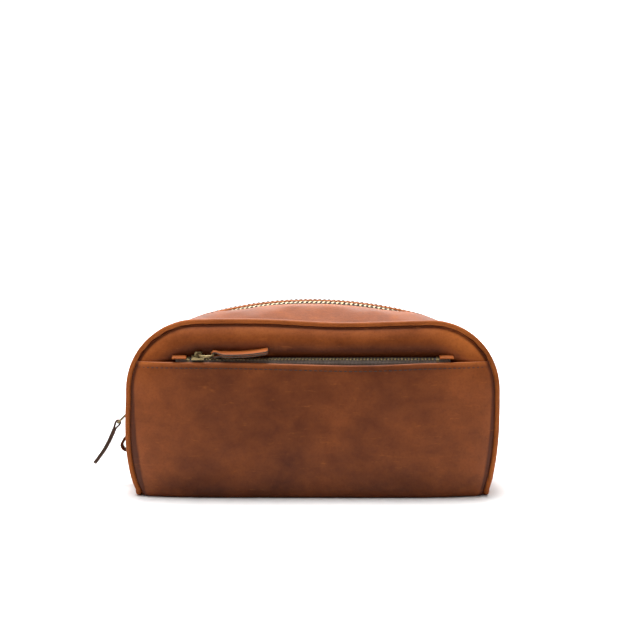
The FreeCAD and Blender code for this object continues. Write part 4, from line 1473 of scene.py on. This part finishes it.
class KITBAG_OT_pulls(bpy.types.Operator):
    """Make the two folded leather pulls"""

    bl_idname = "kitbag.pulls"
    bl_label = "Leather Pulls"

    def execute(self, context):
        for name in ("main", "pocket"):
            self.pull(name)
        return {"FINISHED"}

    def pull(self, name):
        pocket = name == "pocket"
        pivot = joint_point(name + "_pull_swing")
        across = Vector(JOINTS[name + "_pull_swing"]["axis"]).normalized()
        if across.y < 0:
            across = -across
        hang = math.radians(30)
        along = Vector((1, 0, 0)) if pocket else Vector((-math.sin(hang), 0, -math.cos(hang)))
        outward = along.cross(across)
        place = Matrix.Translation(pivot) @ Matrix((along, across, outward)).transposed().to_4x4()
        length = (38 if pocket else 34.5) * MM
        ply = 1.35 * MM
        half_gap = 0.70 * MM
        fold = 1.7 * MM
        start = 5.0 * MM
        upper = [(x, half_gap) for x in np.linspace(length, start, 26)]
        for t in np.linspace(0.15, 1, 7):
            upper.append((start * (1 - t), half_gap + (fold - half_gap) * smooth_step(t, 0, 1)))
        bend = [(-fold * math.sin(a), fold * math.cos(a)) for a in np.linspace(0.25, math.pi - 0.25, 9)]
        line = np.array(upper + bend + [(x, -z) for x, z in upper[::-1]])
        run = np.clip((line[:, 0] - start) / (length - start), 0, 1)
        if pocket:
            line[:, 1] += 2.4 * MM * run ** 2 - 0.4 * MM * np.sin(run * math.pi)
        else:
            line[:, 1] += 1.3 * MM * np.sin(run * math.pi)
        neck, body, tip = 2.5 * MM, 4.9 * MM, 2.2 * MM
        width = neck + (body - neck) * smooth_step(line[:, 0], 1.5 * MM, 7.5 * MM)
        past = np.clip((line[:, 0] - (length - tip)) / tip, 0, 1)
        width -= 1.5 * MM * (1 - np.sqrt(1 - past ** 2))
        mesh = strap_mesh(name + "_pull_leather", line, width, ply, place)
        add_shade(mesh, np.full(len(mesh.vertices), 0.2 if pocket else -0.45))
        piece = new_object(name + "_pull_leather", mesh, MATERIALS["trim"])
        mesh.materials.append(MATERIALS["edge"])
        turned = place.to_3x3().transposed()
        for polygon in mesh.polygons:
            local = turned @ polygon.normal
            if abs(local.y) > 0.6 or local.x > 0.8:
                polygon.material_index = 1
        finish_piece(piece, name + "_pull", "trim_leather", name + "_pull")


class KITBAG_OT_tabs(bpy.types.Operator):
    """Make the loop tabs over both ends of the main zip"""

    bl_idname = "kitbag.tabs"
    bl_label = "Loop Tabs"

    def execute(self, context):
        for name, side in (("left", -1), ("right", 1)):
            node = "main_zip_tab_" + name
            a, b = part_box(node)
            centre_y = (a.y + b.y) / 2
            half = (b.y - a.y) / 2
            ply = 1.8 * MM
            reach = max(abs(a.x), abs(b.x)) - CROWN_HALF_WIDTH + (3.4 * MM if side < 0 else 0.0)
            bottom, top = a.z + ply / 2 - (2.0 * MM if side < 0 else 0.0), b.z
            surface = CROWN_HALF_WIDTH + 0.9 * MM
            seat = [(surface + crown_half(z) - CROWN_HALF_WIDTH, z)
                    for z in (top, top - 4 * MM, top - 8 * MM)]
            width = (reach - 2.2 * MM) / 2
            middle = (seat[-1][0] + width, bottom + width)
            bend = [(middle[0] - width * math.cos(t), middle[1] - width * math.sin(t) * 1.1)
                    for t in np.linspace(0, math.pi, 14)]
            close = [(middle[0] + width * 0.5, middle[1] + 4.2 * MM),
                     (seat[2][0] + ply * 1.2, seat[2][1] + 2.2 * MM),
                     (seat[1][0] + ply * 1.1, seat[1][1] + 2 * MM)]
            rough = np.array([(side * x, z) for x, z in seat + bend + close])
            line = smooth_line(rough, 60)
            place = Matrix.Translation((0, centre_y, 0))
            mesh = strap_mesh(node + "_leather", line, np.full(60, half), ply, place)
            add_shade(mesh, np.full(len(mesh.vertices), -0.60))
            piece = new_object(node + "_leather", mesh, MATERIALS["trim"])
            finish_piece(piece, "bag", "trim_leather", node)
        return {"FINISHED"}


def smooth_line(points, count):
    """Even points on a soft curve through the given ones."""
    points = np.asarray(points, float)
    padded = np.concatenate([[2 * points[0] - points[1]], points, [2 * points[-1] - points[-2]]])
    made = []
    for k in range(1, len(padded) - 2):
        p0, p1, p2, p3 = padded[k - 1:k + 3]
        for t in np.linspace(0, 1, 8, endpoint=False):
            made.append(0.5 * ((2 * p1) + (p2 - p0) * t + (2 * p0 - 5 * p1 + 4 * p2 - p3) * t * t
                               + (3 * p1 - p0 - 3 * p2 + p3) * t ** 3))
    made.append(points[-1])
    return resampled(np.array(made), count)


class KITBAG_OT_linings(bpy.types.Operator):
    """Make the cotton linings inside the leather"""

    bl_idname = "kitbag.linings"
    bl_label = "Linings"

    def execute(self, context):
        inset = 3.4 * MM
        for name, sign in (("front", -1), ("back", 1)):
            depth = sign * np.linspace(HALF_DEPTH - 1.5 * MM, ZIP_HALF_OPENING + 1.2 * MM, 14)
            grid = strip_grid(depth, strip_places(STRIP_FOOT, count=90), inset=inset)
            self.lining("lining_strip_" + name, grid, -sign, "hung", "top_strip_" + name + "_leather")
            plan = panel_plan(columns=70, rows=40, inset=3.0 * MM)
            plan[..., 1] = np.maximum(plan[..., 1], 4.5 * MM)
            y = np.full(plan.shape[:2], sign * (HALF_DEPTH - 1.0 * MM))
            grid = sagged(np.stack([plan[..., 0], y, plan[..., 1]], -1))
            self.lining("lining_" + name, grid, -sign, "hung", name + "_panel_leather")
        for name, side in (("left", 0), ("right", 1)):
            places = strip_places(low("lining_end_" + name).z, STRIP_FOOT + 1 * MM, count=30)
            places = 1 - places if side else places
            depth = np.linspace(-1, 1, 30) * high("lining_end_" + name).y
            grid = strip_grid(depth, places, inset=2.6 * MM)
            self.lining("lining_end_" + name, grid, 2 * side - 1, "hung",
                        "end_panel_" + name + "_leather")
        self.base()
        self.pocket()
        dress("base_board", "board")
        return {"FINISHED"}

    def lining(self, node, grid, sign, held, *rests_on):
        mesh = shell_mesh(node + "_cloth", grid, 0.35 * MM, sign)
        piece = new_object(node + "_cloth", mesh, MATERIALS["cloth"])
        outward_faces(mesh)
        finish_piece(piece, "bag", "lining_cloth", node)

    def base(self):
        """Cloth that lies on the base board."""
        a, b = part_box("lining_base")
        xs, ys = np.linspace(a.x, b.x, 40), np.linspace(a.y, b.y, 20)
        grid = np.stack([*np.meshgrid(xs, ys, indexing="ij"), np.full((40, 20), b.z)], -1)
        self.lining("lining_base", grid, 1, "laid", "base_board")

    def pocket(self):
        """Cloth bag inside the front pocket, as one folded sheet."""
        half = high("pocket_lining").x
        top = POCKET_HEIGHT - 9 * MM
        bottom = low("pocket_lining").z
        front = POCKET_FACE + 2.9 * MM
        rear = -HALF_DEPTH - 3.0 * MM
        xs = np.linspace(-half, half, 40)
        line = [(front, z) for z in np.linspace(top, bottom + 4 * MM, 20)]
        middle, radius = (front + rear) / 2, (rear - front) / 2
        line += [(middle - radius * math.cos(a), bottom + 4 * MM - 3.6 * MM * math.sin(a))
                 for a in np.linspace(0.2, math.pi - 0.2, 9)]
        line += [(rear, z) for z in np.linspace(bottom + 4 * MM, top, 20)]
        grid = np.zeros((len(xs), len(line), 3))
        grid[..., 0] = xs[:, None]
        for j, (y, z) in enumerate(line):
            swell = pocket_point(xs, z) - pocket_point(0.0, z)
            grid[:, j, 1] = y + swell * (rear - y) / (rear - front)
            grid[:, j, 2] = z
        self.lining("pocket_lining", grid, 1, "folded", "pocket_panel_leather")


# ---------------------------------------------------------------- stage


class KITBAG_OT_stage(bpy.types.Operator):
    """Make the floor, the studio lights and the camera"""

    bl_idname = "kitbag.stage"
    bl_label = "Stage"

    def execute(self, context):
        self.floor()
        self.light("key", (-0.1, 0.15, 1.2), (0.0, 0.0, 0.08), 0.9, 20.0)
        self.light("front", (-0.2, -1.2, 1.5), (0.0, 0.0, 0.07), 0.7, 4.0)
        self.light("back", (0.0, 1.5, 1.1), (0.0, 1.3, 0.0), 1.8, 34.0)
        world = bpy.data.worlds.new("studio")
        world.use_nodes = True
        tree = world.node_tree
        way = tree.nodes.new("ShaderNodeSeparateXYZ")
        tree.links.new(tree.nodes.new("ShaderNodeTexCoord").outputs["Generated"], way.inputs[0])
        backdrop = tree.nodes.new("ShaderNodeMapRange")
        for key, value in (("From Min", -0.4), ("From Max", 0.8), ("To Min", 0.14), ("To Max", 1.1)):
            backdrop.inputs[key].default_value = value
        tree.links.new(way.outputs["Y"], backdrop.inputs["Value"])
        tree.links.new(backdrop.outputs["Result"], tree.nodes["Background"].inputs["Strength"])
        tree.nodes["Background"].inputs["Color"].default_value = (1, 1, 1, 1)
        bpy.context.scene.world = world
        bpy.context.scene.view_settings.view_transform = "Standard"
        self.camera()
        return {"FINISHED"}

    def floor(self):
        mesh = bpy.data.meshes.new("floor")
        size = 6.0
        mesh.from_pydata([(-size, -size, 0), (size, -size, 0), (size, size, 0), (-size, size, 0)], [],
                         [(0, 1, 2, 3)])
        n = Nodes("floor")
        grain = n.noise(n.objects(), 3.0, 2.0)
        n.link(n.mix(grain, (0.93, 0.93, 0.93), (0.96, 0.96, 0.96)), n.shader.inputs["Base Color"])
        n.shader.inputs["Roughness"].default_value = 0.6
        way = n.add("SeparateXYZ")
        n.link(n.objects(), way.inputs["Vector"])
        n.link(n.levels(way.outputs["Y"], 0.5, 1.8, 0.0, 0.5), n.shader.inputs["Emission Strength"])
        n.shader.inputs["Emission Color"].default_value = (1, 1, 1, 1)
        piece = new_object("floor", mesh, n.material)

    def light(self, name, place, target, size, power):
        data = bpy.data.lights.new(name, "AREA")
        data.shape = "RECTANGLE"
        data.size = size
        data.size_y = size * 0.7
        data.energy = power
        lamp = bpy.data.objects.new(name, data)
        lamp.location = place
        way = Vector(target) - Vector(place)
        lamp.rotation_euler = way.to_track_quat("-Z", "Y").to_euler()
        bpy.context.scene.collection.objects.link(lamp)

    def camera(self):
        data = bpy.data.cameras.new("view")
        data.sensor_width = 36.0
        data.lens = 113.5
        data.clip_start = 0.05
        camera = bpy.data.objects.new("view", data)
        camera.location = (-0.0024, -1.443, 0.205)
        target = Vector((-0.0024, -0.06, 0.134))
        way = target - camera.location
        camera.rotation_euler = way.to_track_quat("-Z", "Y").to_euler()
        bpy.context.scene.collection.objects.link(camera)
        bpy.context.scene.camera = camera


class KITBAG_PT_panel(bpy.types.Panel):
    """Sidebar panel that lists the bag's pieces"""

    bl_label = "Kit Bag"
    bl_idname = "KITBAG_PT_panel"
    bl_space_type = "VIEW_3D"
    bl_region_type = "UI"
    bl_category = "Kit Bag"

    def draw(self, context):
        scene = context.scene
        for group in (scene.kit_bag_sizes, scene.kit_bag_colours, scene.kit_bag_stitches):
            box = self.layout.box()
            for name in group.__annotations__:
                box.prop(group, name)
        for operator in OPERATORS:
            self.layout.operator(operator.bl_idname)


GROUPS = (KitBagSizes, KitBagColours, KitBagStitches)
OPERATORS = (
    KITBAG_OT_stage,
    KITBAG_OT_front_panel,
    KITBAG_OT_back_panel,
    KITBAG_OT_pocket_panel,
    KITBAG_OT_base_panel,
    KITBAG_OT_top_strips,
    KITBAG_OT_piping,
    KITBAG_OT_main_zip,
    KITBAG_OT_pocket_zip,
    KITBAG_OT_sliders,
    KITBAG_OT_pulls,
    KITBAG_OT_tabs,
    KITBAG_OT_linings,
)


def register():
    for group in GROUPS + OPERATORS + (KITBAG_PT_panel,):
        bpy.utils.register_class(group)
    scene = bpy.types.Scene
    scene.kit_bag_sizes = bpy.props.PointerProperty(type=KitBagSizes)
    scene.kit_bag_colours = bpy.props.PointerProperty(type=KitBagColours)
    scene.kit_bag_stitches = bpy.props.PointerProperty(type=KitBagStitches)


def unregister():
    for name in ("kit_bag_sizes", "kit_bag_colours", "kit_bag_stitches"):
        delattr(bpy.types.Scene, name)
    for group in (KITBAG_PT_panel,) + OPERATORS + GROUPS:
        bpy.utils.unregister_class(group)


def main():
    register()
    make_materials()
    for operator in OPERATORS:
        family, name = operator.bl_idname.split(".")
        getattr(getattr(bpy.ops, family), name)()


if __name__ == "__main__":
    main()
